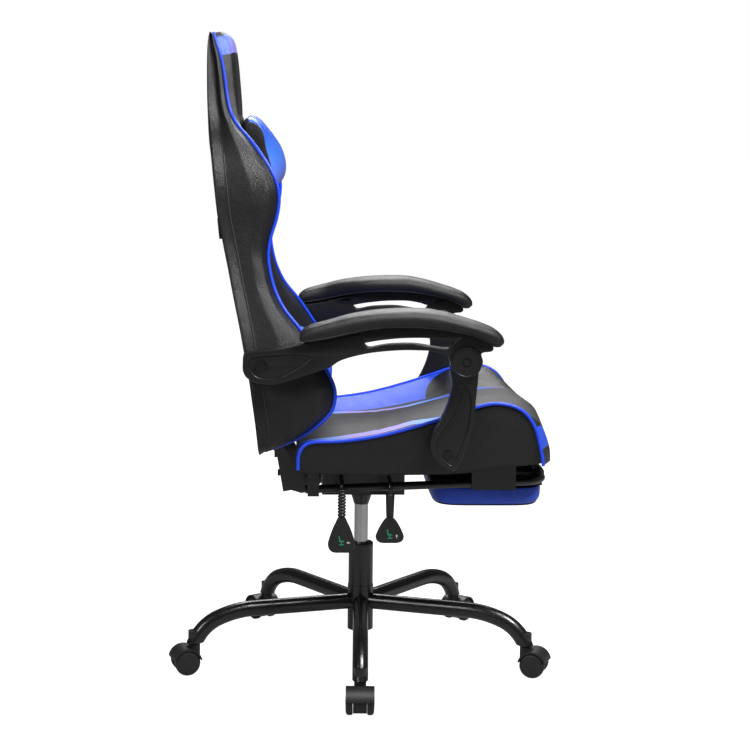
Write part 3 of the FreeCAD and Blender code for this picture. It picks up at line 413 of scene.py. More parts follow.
def smooth_line(points, count, closed=False):
    """Points spaced evenly along a smooth curve through the given ones."""
    spots = [Vector(p) for p in points]
    last = len(spots) - 1
    fine = []
    spans = len(spots) if closed else last

    def at(i):
        return spots[i % len(spots)] if closed else spots[max(0, min(last, i))]

    for i in range(spans):
        a, b, c, d = at(i - 1), at(i), at(i + 1), at(i + 2)
        for step in range(8):
            t = step / 8
            fine.append(bend(a, b, c, d, t))
    fine.append(spots[0].copy() if closed else spots[last].copy())
    lengths = [0.0]
    for a, b in zip(fine, fine[1:]):
        lengths.append(lengths[-1] + (b - a).length)
    samples = []
    k = 0
    steps = count if closed else count - 1
    for i in range(count):
        want = lengths[-1] * i / steps
        while k < len(lengths) - 2 and lengths[k + 1] < want:
            k += 1
        span = lengths[k + 1] - lengths[k]
        share = (want - lengths[k]) / span if span > 0 else 0
        samples.append(fine[k].lerp(fine[k + 1], share))
    return samples


def spread(rail, count):
    """A rail's stations, refined smoothly, keeping its own spacing."""
    spots = [Vector(p) for p in rail]
    last = len(spots) - 1
    samples = []
    for i in range(count):
        u = last * i / (count - 1)
        k = min(int(u), last - 1)
        t = u - k
        a, b = spots[max(k - 1, 0)], spots[k]
        c, d = spots[k + 1], spots[min(k + 2, last)]
        samples.append(bend(a, b, c, d, t))
    return samples


def add_object(name, vertices, faces, materials=(), smooth=True):
    """A mesh object made from lists."""
    mesh = bpy.data.meshes.new(name)
    mesh.from_pydata([tuple(v) for v in vertices], [], faces)
    for material in materials:
        mesh.materials.append(material)
    if smooth:
        mesh.polygons.foreach_set("use_smooth", [True] * len(mesh.polygons))
    made = bpy.data.objects.new(name, mesh)
    bpy.context.scene.collection.objects.link(made)
    return made


def mend(mesh, gap=0.0):
    """Join points closer than the gap, and turn every face outwards."""
    worked = bmesh.new()
    worked.from_mesh(mesh)
    if gap:
        bmesh.ops.remove_doubles(worked, verts=worked.verts, dist=gap)
    bmesh.ops.recalc_face_normals(worked, faces=worked.faces)
    worked.to_mesh(mesh)
    worked.free()


def skin(name, rows, materials, choose=None, round_rows=False, caps=False):
    """A quilt of faces over rows of points; choose(row, column) picks the finish."""
    wide = len(rows[0])
    vertices = [p for row in rows for p in row]
    faces, picks = [], []
    for i in range(len(rows) if round_rows else len(rows) - 1):
        j = (i + 1) % len(rows)
        for k in range(wide - 1):
            faces.append((i * wide + k, i * wide + k + 1, j * wide + k + 1, j * wide + k))
            picks.append(choose(i, k) if choose else 0)
    if caps:
        for k, order in ((0, 1), (wide - 1, -1)):
            rim = [i * wide + k for i in range(len(rows))]
            centre = len(vertices)
            vertices.append(sum((vertices[i] for i in rim), Vector()) / len(rim))
            for i, a in enumerate(rim):
                b = rim[(i + 1) % len(rim)]
                faces.append((a, b, centre)[::order])
                picks.append(0)
    made = add_object(name, vertices, faces, materials)
    made.data.polygons.foreach_set("material_index", picks)
    mend(made.data)
    return made


def between(rail_a, rail_b, share, lift=(0, 0, 0)):
    """A rail part of the way from one to another, moved by lift."""
    return [a.lerp(b, share) + Vector(lift) for a, b in zip(rail_a, rail_b)]


def puff(cover, held, pressure=4.0, frames=20, most=0.012, quality=6):
    """Blow a sewn cover up between its held seams with a short cloth simulation."""
    group = cover.vertex_groups.new(name="seams")
    group.add(sorted(held), 1.0, "REPLACE")
    cloth = cover.modifiers.new("cloth", "CLOTH")
    cloth.settings.vertex_group_mass = "seams"
    cloth.settings.use_pressure = True
    cloth.settings.uniform_pressure_force = pressure
    cloth.settings.effector_weights.gravity = 0
    cloth.settings.quality = quality
    cloth.settings.tension_stiffness = 40
    cloth.settings.compression_stiffness = 25
    cloth.settings.shear_stiffness = 15
    cloth.settings.bending_stiffness = 0.8
    cloth.point_cache.frame_start = 1
    cloth.point_cache.frame_end = frames
    scene = bpy.context.scene
    for number in range(1, frames + 1):
        scene.frame_set(number)
    shown = cover.evaluated_get(bpy.context.evaluated_depsgraph_get())
    after = np.array([v.co for v in shown.data.vertices])
    before = np.array([v.co for v in cover.data.vertices])
    move = after - before
    far = np.linalg.norm(move, axis=1, keepdims=True)
    move *= np.minimum(1, most / np.maximum(far, 1e-9))
    cover.modifiers.remove(cloth)
    cover.vertex_groups.remove(group)
    cover.data.vertices.foreach_set("co", (before + move).astype(np.float32).ravel())
    cover.data.update()
    scene.frame_set(1)


def cord_tube(name, points, radius, material, body, closed=False):
    """A round cord along a smooth line."""
    curve = bpy.data.curves.new(name, "CURVE")
    curve.dimensions = "3D"
    spline = curve.splines.new("NURBS")
    spline.points.add(len(points) - 1)
    for spot, p in zip(spline.points, points):
        spot.co = (*p, 1)
    spline.order_u = 4
    spline.use_endpoint_u = not closed
    spline.use_cyclic_u = closed
    spline.resolution_u = 3
    curve.bevel_depth = radius
    curve.bevel_resolution = 3
    curve.use_fill_caps = True
    curve.materials.append(material)
    made = bpy.data.objects.new(name, curve)
    bpy.context.scene.collection.objects.link(made)
    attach(made, body)
    return made


def seat_rail(y, points):
    """A rail of the seat's cover on its right-hand side, in millimetres above the board."""
    return [Vector((x * MM, -y * MM, SEAT_LEVEL + z * MM)) for x, z in points]


edge_y = SEAT_HALF / MM - 5
SEAT_EDGE = [(-130, 9), (-128, 42), (-108, 61), (-42, 65), (33, 77), (118, 101), (208, 131), (250, 137),
             (290, 125), (316, 93), (329, 46), (334, 18)]
SEAT_CENTRE = [(-130, 6), (-131, 34), (-112, 48), (-45, 54), (35, 62), (120, 79), (215, 101), (275, 109),
               (320, 105), (348, 86), (365, 42), (368, 6)]
SEAT_SEAM = [(-130, 6), (-131, 33), (-112, 46), (-45, 50), (35, 57), (120, 74), (212, 95), (268, 103),
             (312, 99), (341, 79), (358, 38), (361, 8)]
SEAT_FOOT = [(-127, 4), (-118, 2), (-100, 0), (-40, -1), (33, -2), (118, -1), (185, 2), (225, 8),
             (262, 13), (300, 17), (325, 20), (334, 24)]
SEAM_Y = 158
STATIONS = 96
edge = spread(seat_rail(edge_y, SEAT_EDGE), STATIONS)
centre = spread(seat_rail(0, SEAT_CENTRE), STATIONS)
seam = spread(seat_rail(SEAM_Y, SEAT_SEAM), STATIONS)
foot = spread(seat_rail(edge_y - 6, SEAT_FOOT), STATIONS)
tuck = spread(seat_rail(edge_y - 40, [(x * 0.97, z + 2) for x, z in SEAT_FOOT]), STATIONS)
key_rails = [(tuck, 5), (foot, 12), (edge, 12), (seam, 3), (between(seam, centre, 0.13), 14), (centre, 0)]
half_rows, row_kind = [], []
for number, ((start, count), (end, _)) in enumerate(zip(key_rails, key_rails[1:])):
    for k in range(count):
        half_rows.append(between(start, end, k / count))
        row_kind.append((number, k))
half_rows.append(centre)
row_kind.append((len(key_rails) - 1, 0))
seat_rows = half_rows + [[Vector((p.x, -p.y, p.z)) for p in row] for row in half_rows[-2::-1]]
seat_kinds = row_kind + row_kind[-2::-1]
TUCK, SIDE, INNER, STRIP, TOP = range(5)


def seat_finish(row, column):
    """Black sides, blue and black bolsters, a printed top, blue corners at the front."""
    forward = row >= len(half_rows) - 1
    kind = seat_kinds[row + 1][0] if forward else seat_kinds[row][0]
    share = column / (STATIONS - 1)
    if kind in (STRIP, TOP):
        return 3
    if kind == INNER and share < 0.9:
        return 1 if share > 0.82 else 2
    return 0


seat_cover = skin("seat_cover", seat_rows,
                  [black_leather, blue_leather, bolster_leather, seat_print], seat_finish)
held_rows = [i for i, (kind, k) in enumerate(seat_kinds) if k == 0 and 0 < i < len(seat_kinds) - 1
             and kind < 5] + [0, 1, len(seat_rows) - 1, len(seat_rows) - 2]
held = {row * STATIONS + k for row in held_rows for k in range(STATIONS)}
held |= {row * STATIONS + k for row in range(len(seat_rows)) for k in (0, 1, STATIONS - 2, STATIONS - 1)}
puff(seat_cover, held, pressure=4.0, most=0.009)
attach(seat_cover, "seat")
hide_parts("seat_centre_pad", "seat_bolster_left", "seat_bolster_right")
PIPING_RADIUS = 0.0034
for side, word in ((1, "right"), (-1, "left")):
    line = [Vector((p.x, side * (p.y - 0.0015), p.z)) for p in smooth_line(edge, 60)]
    cord_tube(f"seat_piping_{word}", line, PIPING_RADIUS, piping_leather, "seat")

# ------------------------------------------------------------------ back cover
# The back is one sewn cover over foam: a rear panel, two side panels with a
# flap seam, two wings that curl forward, a centre panel, and a narrower head
# with a printed band across its top. The same blue piping edges the wings.
JOINTS = {joint["name"]: Vector(joint["pos_m"]) for joint in frame["joints"] if "pos_m" in joint}
HINGE = JOINTS["back_recline"]


def from_hinge(x, y, z):
    """A point of the back in millimetres, forward, outward and up from the recline hinge."""
    return Vector((HINGE.x + x * MM, -y * MM, HINGE.z + z * MM))


# Each station has the piping's x, z and distance from the middle, then the
# rear edge's x and z, then the middle of the front panel's x and z.
BACK_STATIONS = [
    (-84, 77, 222, -103, 68, -73, 80),
    (-56, 93, 258, -105, 84, -63, 92),
    (-27, 110, 278, -107, 108, -56, 110),
    (6, 134, 288, -110, 138, -51, 134),
    (30, 159, 292, -113, 161, -49, 159),
    (38, 187, 292, -117, 189, -48, 187),
    (33, 216, 291, -121, 218, -50, 216),
    (10, 257, 288, -129, 262, -57, 257),
    (-27, 313, 280, -139, 316, -70, 313),
    (-59, 353, 272, -147, 354, -80, 353),
    (-77, 391, 263, -155, 393, -90, 391),
    (-86, 428, 257, -162, 429, -99, 428),
    (-88, 457, 254, -168, 458, -106, 457),
    (-82, 489, 253, -174, 489, -113, 489),
    (-73, 518, 254, -180, 518, -119, 518),
    (-68, 551, 256, -184, 550, -126, 551),
    (-71, 579, 256, -187, 578, -131, 579),
    (-82, 606, 252, -190, 605, -136, 606),
    (-100, 634, 240, -193, 632, -139, 634),
    (-122, 662, 218, -197, 658, -141, 662),
    (-146, 688, 188, -200, 684, -142, 688),
    (-160, 712, 166, -202, 711, -142, 711),
    (-167, 741, 157, -203.5, 741, -144, 740),
    (-172, 776, 152, -204, 776, -147, 776),
    (-178, 810, 148, -204, 810, -150, 815),
    (-187, 840, 143, -203, 840, -157, 849),
    (-194, 860, 132, -200, 862, -176, 866),
]
BACK_COLUMNS = 150
piping_line = spread([from_hinge(x, y - 8 - 0.055 * y, z) for x, z, y, *_ in BACK_STATIONS], BACK_COLUMNS)
rear_line = spread([from_hinge(x, y - 3, z) for _, _, y, x, z, _, _ in BACK_STATIONS], BACK_COLUMNS)
rear_middle = spread([from_hinge(x + 1, 0, z) for *_, x, z, _, _ in BACK_STATIONS], BACK_COLUMNS)
front_middle = spread([from_hinge(x, 0, z) for *_, x, z in BACK_STATIONS], BACK_COLUMNS)


def seam_point(station):
    """Where a wing is sewn to the centre: set back a little, and inside the piping."""
    x, z, y, _, _, front_x, front_z = station
    inside = min(150, y - 34)
    drop = 6 if y > 200 else 3
    return from_hinge(min(front_x - drop, x + 60), inside, front_z)


wing_seam = spread([seam_point(station) for station in BACK_STATIONS], BACK_COLUMNS)
flap_line = [a.lerp(b, min(0.5, 0.024 / max((b - a).length, 0.001))) for a, b in zip(rear_line, piping_line)]
side_middle = between(flap_line, piping_line, 0.45, (0, -0.014, 0))
side_shoulder = between(flap_line, piping_line, 0.8, (0, -0.014, 0))
wing_middle = between(piping_line, wing_seam, 0.5, (0.006, 0, 0))
back_keys = [(rear_middle, 14), (rear_line, 4), (flap_line, 8), (side_middle, 8), (side_shoulder, 6),
             (piping_line, 7), (wing_middle, 7), (wing_seam, 13), (front_middle, 0)]
back_half, back_kinds = [], []
for number, ((start, count), (end, _)) in enumerate(zip(back_keys, back_keys[1:])):
    for k in range(count):
        back_half.append(between(start, end, k / count))
        back_kinds.append(number)
back_half.append(front_middle)
back_kinds.append(len(back_keys) - 2)
back_rows = back_half + [[Vector((p.x, -p.y, p.z)) for p in row] for row in back_half[-2:0:-1]]
mirrored_kinds = back_kinds + back_kinds[-3::-1]
REAR, FLAP, SIDE_LOW, SIDE_HIGH, SIDE_EDGE, WING_OUT, WING_IN, FRONT = range(8)
HEAD_BAND = (822, 858)
SHOULDER = (566, 610)


def back_finish(row, column):
    """Black leather; a printed band over the head, whose violet and rose front end is also a painted
    highlight, and a printed accent on each shoulder.
    """
    kind = mirrored_kinds[row] if row < len(mirrored_kinds) else REAR
    height = (wing_seam[column].z - HINGE.z) / MM
    if kind in (WING_OUT, WING_IN, FRONT) and HEAD_BAND[0] < height < HEAD_BAND[1]:
        return 1
    if kind == WING_OUT and SHOULDER[0] < height < SHOULDER[1]:
        return 2
    return 0


back_cover = skin("back_cover", back_rows, [black_leather, head_print_and_highlight, panel_print], back_finish,
                  round_rows=True, caps=True)
seam_rows = set()
row = 0
for rail, count in back_keys:
    if rail in (rear_line, flap_line, piping_line, wing_seam):
        seam_rows |= {row, (len(back_rows) - row) % len(back_rows)}
    row += count
rear_reach = back_keys[0][1] - 4
seam_rows |= set(range(rear_reach)) | {(len(back_rows) - row) % len(back_rows) for row in range(rear_reach)}
held = {row * BACK_COLUMNS + k for row in seam_rows for k in range(BACK_COLUMNS)}
held |= {row * BACK_COLUMNS + k for row in range(len(back_rows)) for k in (0, 1, BACK_COLUMNS - 1)}
held |= {len(back_rows) * BACK_COLUMNS, len(back_rows) * BACK_COLUMNS + 1}
puff(back_cover, held, pressure=3.0, most=0.008)
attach(back_cover, "back")
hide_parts("back_centre_pad", "back_rear_cover", "back_bolster_left", "back_bolster_right")
for side, word in ((1, "right"), (-1, "left")):
    line = [Vector((p.x + 0.001, side * (p.y - 0.0015), p.z)) for p in smooth_line(piping_line, 110)]
    cord_tube(f"back_piping_{word}", line, PIPING_RADIUS, piping_leather, "back")
    groove = [Vector((p.x, side * (p.y - 0.0006), p.z)) for p in smooth_line(flap_line[10:105], 60)]
    cord_tube(f"back_flap_seam_{word}", groove, 0.0012, thread, "back")

# ------------------------------------------------------------------ pillows
# A neck pillow and a lumbar pillow hang on the strap: printed or blue fronts,
# black or blue side bands, and a crown that falls off towards the ends.
PILLOW_COLUMNS = 49
BAND_START, BAND_END = 3, 45


def pillow(name, profile, half_wide, front, side_band, node, sag, most):
    """A cushion with one side profile, drawn in and rounded towards its two ends."""
    loop = smooth_line([from_hinge(x, 0, z) for x, z in profile], 64, closed=True)
    middle = sum(loop, Vector()) / len(loop)
    stations = [(-1.0, 0.80), (-0.995, 0.88), (-0.97, 0.94), (-0.93, 0.98), (-0.85, 1.0), (-0.7, 1.0),
                (-0.5, 1.0), (-0.25, 1.0), (0, 1.0)]
    stations += [(-y, share) for y, share in stations[-2::-1]]
    rows = []
    for p in loop:
        row = []
        for y, share in stations:
            spot = middle.lerp(p, share)
            ahead = max(0.0, (p - middle).normalized().x)
            row.append(Vector((spot.x - sag * abs(y) ** 3 * ahead, half_wide * MM * y, spot.z)))
        rows.append(spread(row, PILLOW_COLUMNS))

    def choose(row, column):
        """The side bands and the rear share one finish; the front has its own."""
        faces_front = (loop[row] - middle).normalized().x > -0.35
        return 1 if faces_front and BAND_START <= column < BAND_END else side_band

    made = skin(name, rows, [black_leather, front, blue_leather], choose, round_rows=True, caps=True)
    columns = PILLOW_COLUMNS
    seams = (0, 1, BAND_START, BAND_END, columns - 2, columns - 1)
    fixed = {i * columns + k for i in range(len(rows)) for k in seams}
    fixed |= {i * columns + k for i in range(len(rows)) for k in range(columns)
              if (loop[i] - middle).normalized().x < -0.75}
    fixed |= {len(rows) * columns, len(rows) * columns + 1}
    puff(made, fixed, 2.5, 14, most)
    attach(made, "back")
    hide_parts(node)
    return [Vector(row[BAND_START]) for row in rows], [Vector(row[BAND_END]) for row in rows]


neck_print = printed_material("neck_print", [
    (0.12, VIOLET), (0.34, (0.1, 0.16, 0.62)), (0.6, (0.045, 0.16, 0.66)), (0.9, (0.025, 0.1, 0.6)),
], "Z", 0.96, 1.10, 0.16, 0.28)
pillow("neck_pillow_cover", [
    (-138, 684), (-130, 702), (-114, 700), (-98, 686), (-82, 668), (-66, 646), (-57, 622), (-55, 600),
    (-62, 580), (-80, 566), (-104, 564), (-124, 568), (-131, 600), (-136, 640),
], 147, neck_print, 0, "neck_pillow", 0.024, 0.006)
ends = pillow("lumbar_pillow_cover", [
    (-58, 240), (-50, 206), (-47, 178), (-32, 155), (0, 150), (25, 164), (37, 192), (37, 218),
    (24, 244), (0, 262), (-30, 274), (-52, 272), (-59, 260),
], 145, blue_leather, 2, "lumbar_pillow", 0.016, 0.006)
for number, rim in enumerate(ends, 1):
    cord_tube(f"lumbar_pillow_cord_{number}", rim, 0.0026, black_leather, "back",
              closed=True)

# ------------------------------------------------------------------ armrests
# Each armrest is a moulded frame with a sunk panel in its rear lobe, a soft
# pad on a carrier, a post with a sunk face, and the disc that joins them.


def outline_mesh(name, lines, low, high, bevel, material):
    """A plate between two values of y, cut to closed lines in x and z, with rounded edges."""
    curve = bpy.data.curves.new(name + "_outline", "CURVE")
    curve.dimensions = "2D"
    curve.fill_mode = "BOTH"
    curve.extrude = (high - low) / 2 - bevel
    curve.bevel_depth = bevel
    curve.bevel_resolution = 3
    curve.offset = -bevel
    for line in lines:
        spline = curve.splines.new("POLY")
        spline.points.add(len(line) - 1)
        for spot, p in zip(spline.points, line):
            spot.co = (p.x, p.z, 0, 1)
        spline.use_cyclic_u = True
    drawn = bpy.data.objects.new(name + "_outline", curve)
    bpy.context.scene.collection.objects.link(drawn)
    bpy.context.view_layer.update()
    mesh = bpy.data.meshes.new_from_object(drawn.evaluated_get(bpy.context.evaluated_depsgraph_get()))
    bpy.data.objects.remove(drawn)
    bpy.data.curves.remove(curve)
    mesh.name = name
    mesh.transform(Matrix.Translation((0, (low + high) / 2, 0)) @ Matrix.Rotation(math.pi / 2, 4, "X"))
    mesh.materials.clear()
    mesh.materials.append(material)
    mend(mesh, 0.00002)
    mesh.polygons.foreach_set("use_smooth", [True] * len(mesh.polygons))
    mesh.set_sharp_from_angle(angle=0.7)
    made = bpy.data.objects.new(name, mesh)
    bpy.context.scene.collection.objects.link(made)
    return made


def rounded(datum, points, count=150):
    """A closed smooth line through points in millimetres from a datum."""
    line = [Vector((datum.x + x * MM, 0, datum.z + z * MM)) for x, z in points]
    return smooth_line(line, count, closed=True)


def circle(centre, radius, count=40):
    """A ring of points in the plane of x and z."""
    return [Vector((centre.x + radius * math.cos(a), 0, centre.z + radius * math.sin(a)))
            for a in (math.tau * i / count for i in range(count))]


def turned(name, profile, centre, side, material, body):
    """A round piece: profile lists the radius and how far out from the middle, in metres."""
    rows = [[Vector((centre.x + r * math.cos(a), side * y, centre.z + r * math.sin(a)))
             for a in (math.tau * i / 64 for i in range(65))] for r, y in profile]
    made = skin(name, rows, [material])
    mend(made.data, 0.000005)
    made.data.set_sharp_from_angle(angle=0.8)
    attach(made, body)
    return made


ARM_FRAME = [
    (-33, 6), (-32, 19), (-23, 27), (17, 30), (53, 35), (84, 43), (126, 49), (178, 60), (184, 54),
    (191, 40), (200, 34), (228, 39), (255, 41), (283, 41), (311, 37), (338, 33), (347, 35), (352, 43),
    (376, 60), (401, 54), (425, 39), (424, 29), (405, 25), (408, 9), (400, -9), (377, -20), (354, -9),
    (348, 8), (342, 20), (329, 25), (311, 29), (292, 30), (255, 30), (209, 26), (173, 19), (145, 10),
    (127, -2), (108, -9), (72, -21), (35, -33), (13, -35), (-11, -31), (-27, -21), (-33, -8),
]
LOBE_PANEL = [(-22, 8), (-15, 15), (20, 19), (58, 22), (84, 20), (90, 14), (68, -3), (38, -19), (12, -23),
              (-7, -20), (-18, -8)]
CARRIER = [(150, 54), (156, 44), (176, 44), (188, 43), (200, 45), (218, 48), (255, 52), (292, 53),
           (312, 52), (334, 48), (347, 44), (360, 46), (392, 52), (380, 61), (340, 67), (300, 70), (254, 71),
           (216, 69), (178, 62)]
POST = [(2, 179), (1, 165), (3, 150), (6, 135), (4, 116), (-4, 88), (-16, 62), (-27, 46), (-33, 28),
        (-34, 13), (-28, -4), (-15, -18), (0, -29), (10, -33), (21, -18), (31, 3), (40, 32), (47, 60),
        (50, 97), (53, 135), (55, 161), (56, 179), (49, 198), (28, 206), (9, 198)]
POST_PANEL = [(34, 128), (41, 100), (38, 62), (31, 34), (22, 6), (9, -19), (0, -16), (-14, -4), (-22, 12),
              (-22, 26), (-12, 44), (4, 68), (16, 96), (24, 124)]
# Stations of the pad: top x and z, bottom x and z, inner and outer distance.
PAD = [(71, 57, 71, 50, 306, 340), (74, 65, 74, 46, 300, 347), (90, 76, 89, 44, 299, 350),
       (126, 86, 128, 50, 299, 350), (163, 96, 172, 60, 289, 350), (209, 103, 214, 67, 279, 350),
       (254, 106, 254, 69, 277, 350), (300, 106, 299, 68, 277, 350), (337, 100, 334, 65, 277, 350),
       (374, 90, 364, 60, 277, 350), (403, 81, 388, 55, 277, 350), (427, 71, 408, 46, 279, 348),
       (441, 60, 423, 38, 284, 343), (446, 52, 434, 36, 290, 337), (447, 46, 442, 39, 298, 329)]
PAD_AROUND = 40
# How far each moulding's inner and outer face stands from the chair's middle.
frame_near, frame_far = 0.298, 0.328
post_near, post_far = 0.271, 0.297
SKIN_DEPTH = 0.003
for side, word in ((1, "left"), (-1, "right")):
    pivot = JOINTS[f"arm_{word}_tilt"]
    foot = JOINTS[f"post_{word}_tilt"]
    disc = Vector((pivot.x + 0.377, 0, pivot.z + 0.009))

    def layer(name, lines, near, far, bevel, body, material=gloss_plastic):
        """A moulded layer between two distances from the middle, on this side."""
        low, high = sorted((side * near, side * far))
        made = outline_mesh(f"{name}_{word}", lines, low, high, bevel, material)
        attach(made, f"{body}_{word}")
        return made

    shell = rounded(pivot, ARM_FRAME, 260)
    bolt = circle(pivot, 0.0051)
    core = layer("arm_moulding", [shell, bolt], frame_near, frame_far - SKIN_DEPTH, 0.0015, "arm")
    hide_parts(f"arm_frame_{word}")
    layer("arm_face", [shell, rounded(pivot, LOBE_PANEL, 90)], frame_far - SKIN_DEPTH - 0.0015, frame_far,
          0.002, "arm")
    layer("arm_stand_off", [circle(pivot, 0.016), bolt], 0.2954, frame_near + 0.001, 0.0004, "arm")
    layer("arm_carrier", [rounded(pivot, CARRIER, 120)], frame_near, frame_far - 0.001, 0.002, "arm")
    rows = []
    for i in range(PAD_AROUND):
        a = math.tau * i / PAD_AROUND
        out = math.copysign(abs(math.cos(a)) ** 0.72, math.cos(a))
        up = math.copysign(abs(math.sin(a)) ** 0.78, math.sin(a))
        row = []
        for top_x, top_z, low_x, low_z, near, far in PAD:
            top = Vector((pivot.x + top_x * MM, 0, pivot.z + top_z * MM))
            low = Vector((pivot.x + low_x * MM, 0, pivot.z + low_z * MM))
            spot = low.lerp(top, 0.5 + 0.5 * up)
            spot.y = side * ((near + far) / 2 + out * (far - near) / 2) * MM
            row.append(spot)
        rows.append(spread(row, 72))
    pad = skin(f"arm_cushion_{word}", rows, [black_leather], round_rows=True, caps=True)
    seam_up, seam_down = PAD_AROUND - 4, PAD_AROUND // 2 + 4
    wide = len(rows[0])
    held = {i * wide + k for i in (seam_up, seam_down) for k in range(wide)}
    held |= {i * wide + k for i in range(seam_down, seam_up) for k in range(wide)}
    held |= {i * wide + k for i in range(PAD_AROUND) for k in (0, wide - 1)}
    held |= {PAD_AROUND * wide, PAD_AROUND * wide + 1}
    puff(pad, held, 3.0, 14, 0.0025)
    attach(pad, f"arm_{word}")
    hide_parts(f"arm_pad_{word}")
    for number, row in ((1, seam_up), (2, seam_down)):
        cord_tube(f"arm_cushion_seam_{word}_{number}", rows[row][3:-3], 0.001, thread, f"arm_{word}")
    lower = rounded(foot, POST, 200)
    hole = circle(foot, 0.0051)
    post = layer("post_moulding", [lower, hole], post_near, post_far - SKIN_DEPTH, 0.0015, "post")
    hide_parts(f"arm_post_{word}")
    layer("post_face", [lower, rounded(foot, POST_PANEL, 100)], post_far - SKIN_DEPTH - 0.0015, post_far,
          0.002, "post")
    layer("post_stand_off", [circle(foot, 0.014), hole], 0.2656, post_near + 0.001, 0.0004, "post")
    head = circle(disc, 0.008)
    layer("post_boss", [head], post_far - 0.001, frame_far + 0.0006, 0.0003, "post")
    outer = frame_far + 0.0005
    cap = turned(f"pivot_disc_{word}", [
        (0.0, outer), (0.027, outer), (0.029, outer + 0.002), (0.029, outer + 0.0055),
        (0.0275, outer + 0.0078), (0.0255, outer + 0.008), (0.0245, outer + 0.0068), (0.0085, outer + 0.0068),
        (0.0078, outer + 0.0055), (0.0066, outer + 0.0055), (0.006, outer + 0.0076), (0.0, outer + 0.008),
    ], disc, side, gloss_plastic, f"post_{word}")
    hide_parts(f"pivot_cap_{word}")
dark_zinc = mottled_material("black_zinc", (0.05, 0.05, 0.055), 0.3, 0.45, 900, 0.0001, 60, metal=1.0)
finish_node(dark_zinc, "back_bolts", "seat_bolts")

# ------------------------------------------------------------------ footrest
# The foot pad is stored upside down under its board: a black strip next to
# the board, a blue band round its side, and a thin black cord where the band
# meets the black crown.
pad_low, pad_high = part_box("footrest_pad")
PAD_LENGTH = (pad_high.x - pad_low.x) / MM
PAD_HALF = pad_high.y / MM - 2
PAD_DEEP = (pad_high.z - pad_low.z) / MM


def pad_plan(count):
    """The pad's rounded-rectangle outline seen from above, about its middle."""
    points = []
    for i in range(count):
        a = math.tau * i / count
        points.append((math.copysign(abs(math.cos(a)) ** 0.36, math.cos(a)) * (PAD_LENGTH / 2 - 2),
                       math.copysign(abs(math.sin(a)) ** 0.36, math.sin(a)) * PAD_HALF))
    return points


pad_centre_x = (pad_low.x + pad_high.x) / 2
PAD_LEVELS = [(0, 0.5), (0, 0.75), (0, 0.9), (0, 0.97), (-0.5, 0.99), (-2, 0.997), (-5, 1.0), (-10, 1.0),
              (-16, 1.0), (-22, 0.998), (-27, 0.993), (-32, 0.98), (-36, 0.96), (-39.5, 0.93), (-41.5, 0.85),
              (-42.5, 0.7), (-43, 0.5), (-43.5, 0.25)]
DRAWN_DEPTH = 45
PAD_STRIP, PAD_SEAM = 5, 13
rows = []
for x, y in pad_plan(112):
    rows.append([Vector((pad_centre_x + x * share * MM, y * share * MM,
                         pad_high.z - 0.0015 + z * PAD_DEEP / DRAWN_DEPTH * MM)) for z, share in PAD_LEVELS])
footpad = skin("footrest_cushion", rows, [black_leather, blue_leather],
               lambda row, column: int(PAD_STRIP <= column < PAD_SEAM), round_rows=True, caps=True)
wide = len(PAD_LEVELS)
held = {i * wide + k for i in range(len(rows)) for k in (0, 1, 2, 3, 4, PAD_SEAM)} | {len(rows) * wide}
puff(footpad, held, 2.5, 14, 0.004)
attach(footpad, "footpad")
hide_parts("footrest_pad")
cord_tube("footrest_cord", [row[PAD_SEAM] for row in rows], 0.002, black_leather, "footpad",
          closed=True)

# ------------------------------------------------------------------ levers
# Two teardrop grips of moulded nylon hang on bent rods. The front rod has a
# smooth sleeve and the rear one a ribbed bellows. Each grip carries a plain
# chair symbol and an arrow.
ink_green = mottled_material("green_ink", (0.012, 0.24, 0.11), 0.4, 0.55, 900, 0.0001)
ink_white = mottled_material("white_ink", (0.45, 0.47, 0.47), 0.4, 0.55, 900, 0.0001)
REACH = (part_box("height_lever_paddle")[0].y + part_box("height_lever_paddle")[1].y) / 2
GRIP_HALF = 0.0055
CHAIR_SYMBOL = [
    [(-5, 9), (-2.6, 9), (-1.4, 0), (5.5, 0), (5.5, -2.4), (-3.4, -2.4)],
    [(0, -2.4), (1.8, -2.4), (1.8, -7), (0, -7)],
    [(-4, -7), (5.8, -7), (5.8, -8.8), (-4, -8.8)],
]
ARROW = [[(-4.5, 0), (0, 6), (4.5, 0), (1.5, 0), (1.5, -6), (-1.5, -6), (-1.5, 0)]]


def decal(name, shapes, centre, scale, turn, material, body):
    """Flat shapes printed on a grip's outer face."""
    vertices, faces = [], []
    cos, sin = math.cos(turn), math.sin(turn)
    for shape in shapes:
        first = len(vertices)
        for x, z in shape:
            vertices.append(Vector((centre.x + (x * cos - z * sin) * scale * MM, REACH - GRIP_HALF - 0.0002,
                                    centre.z + (x * sin + z * cos) * scale * MM)))
        faces.append(tuple(range(first, len(vertices))))
    made = add_object(name, vertices, faces, [material], smooth=False)
    thick = made.modifiers.new("ink", "SOLIDIFY")
    thick.thickness = 0.0003
    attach(made, body)


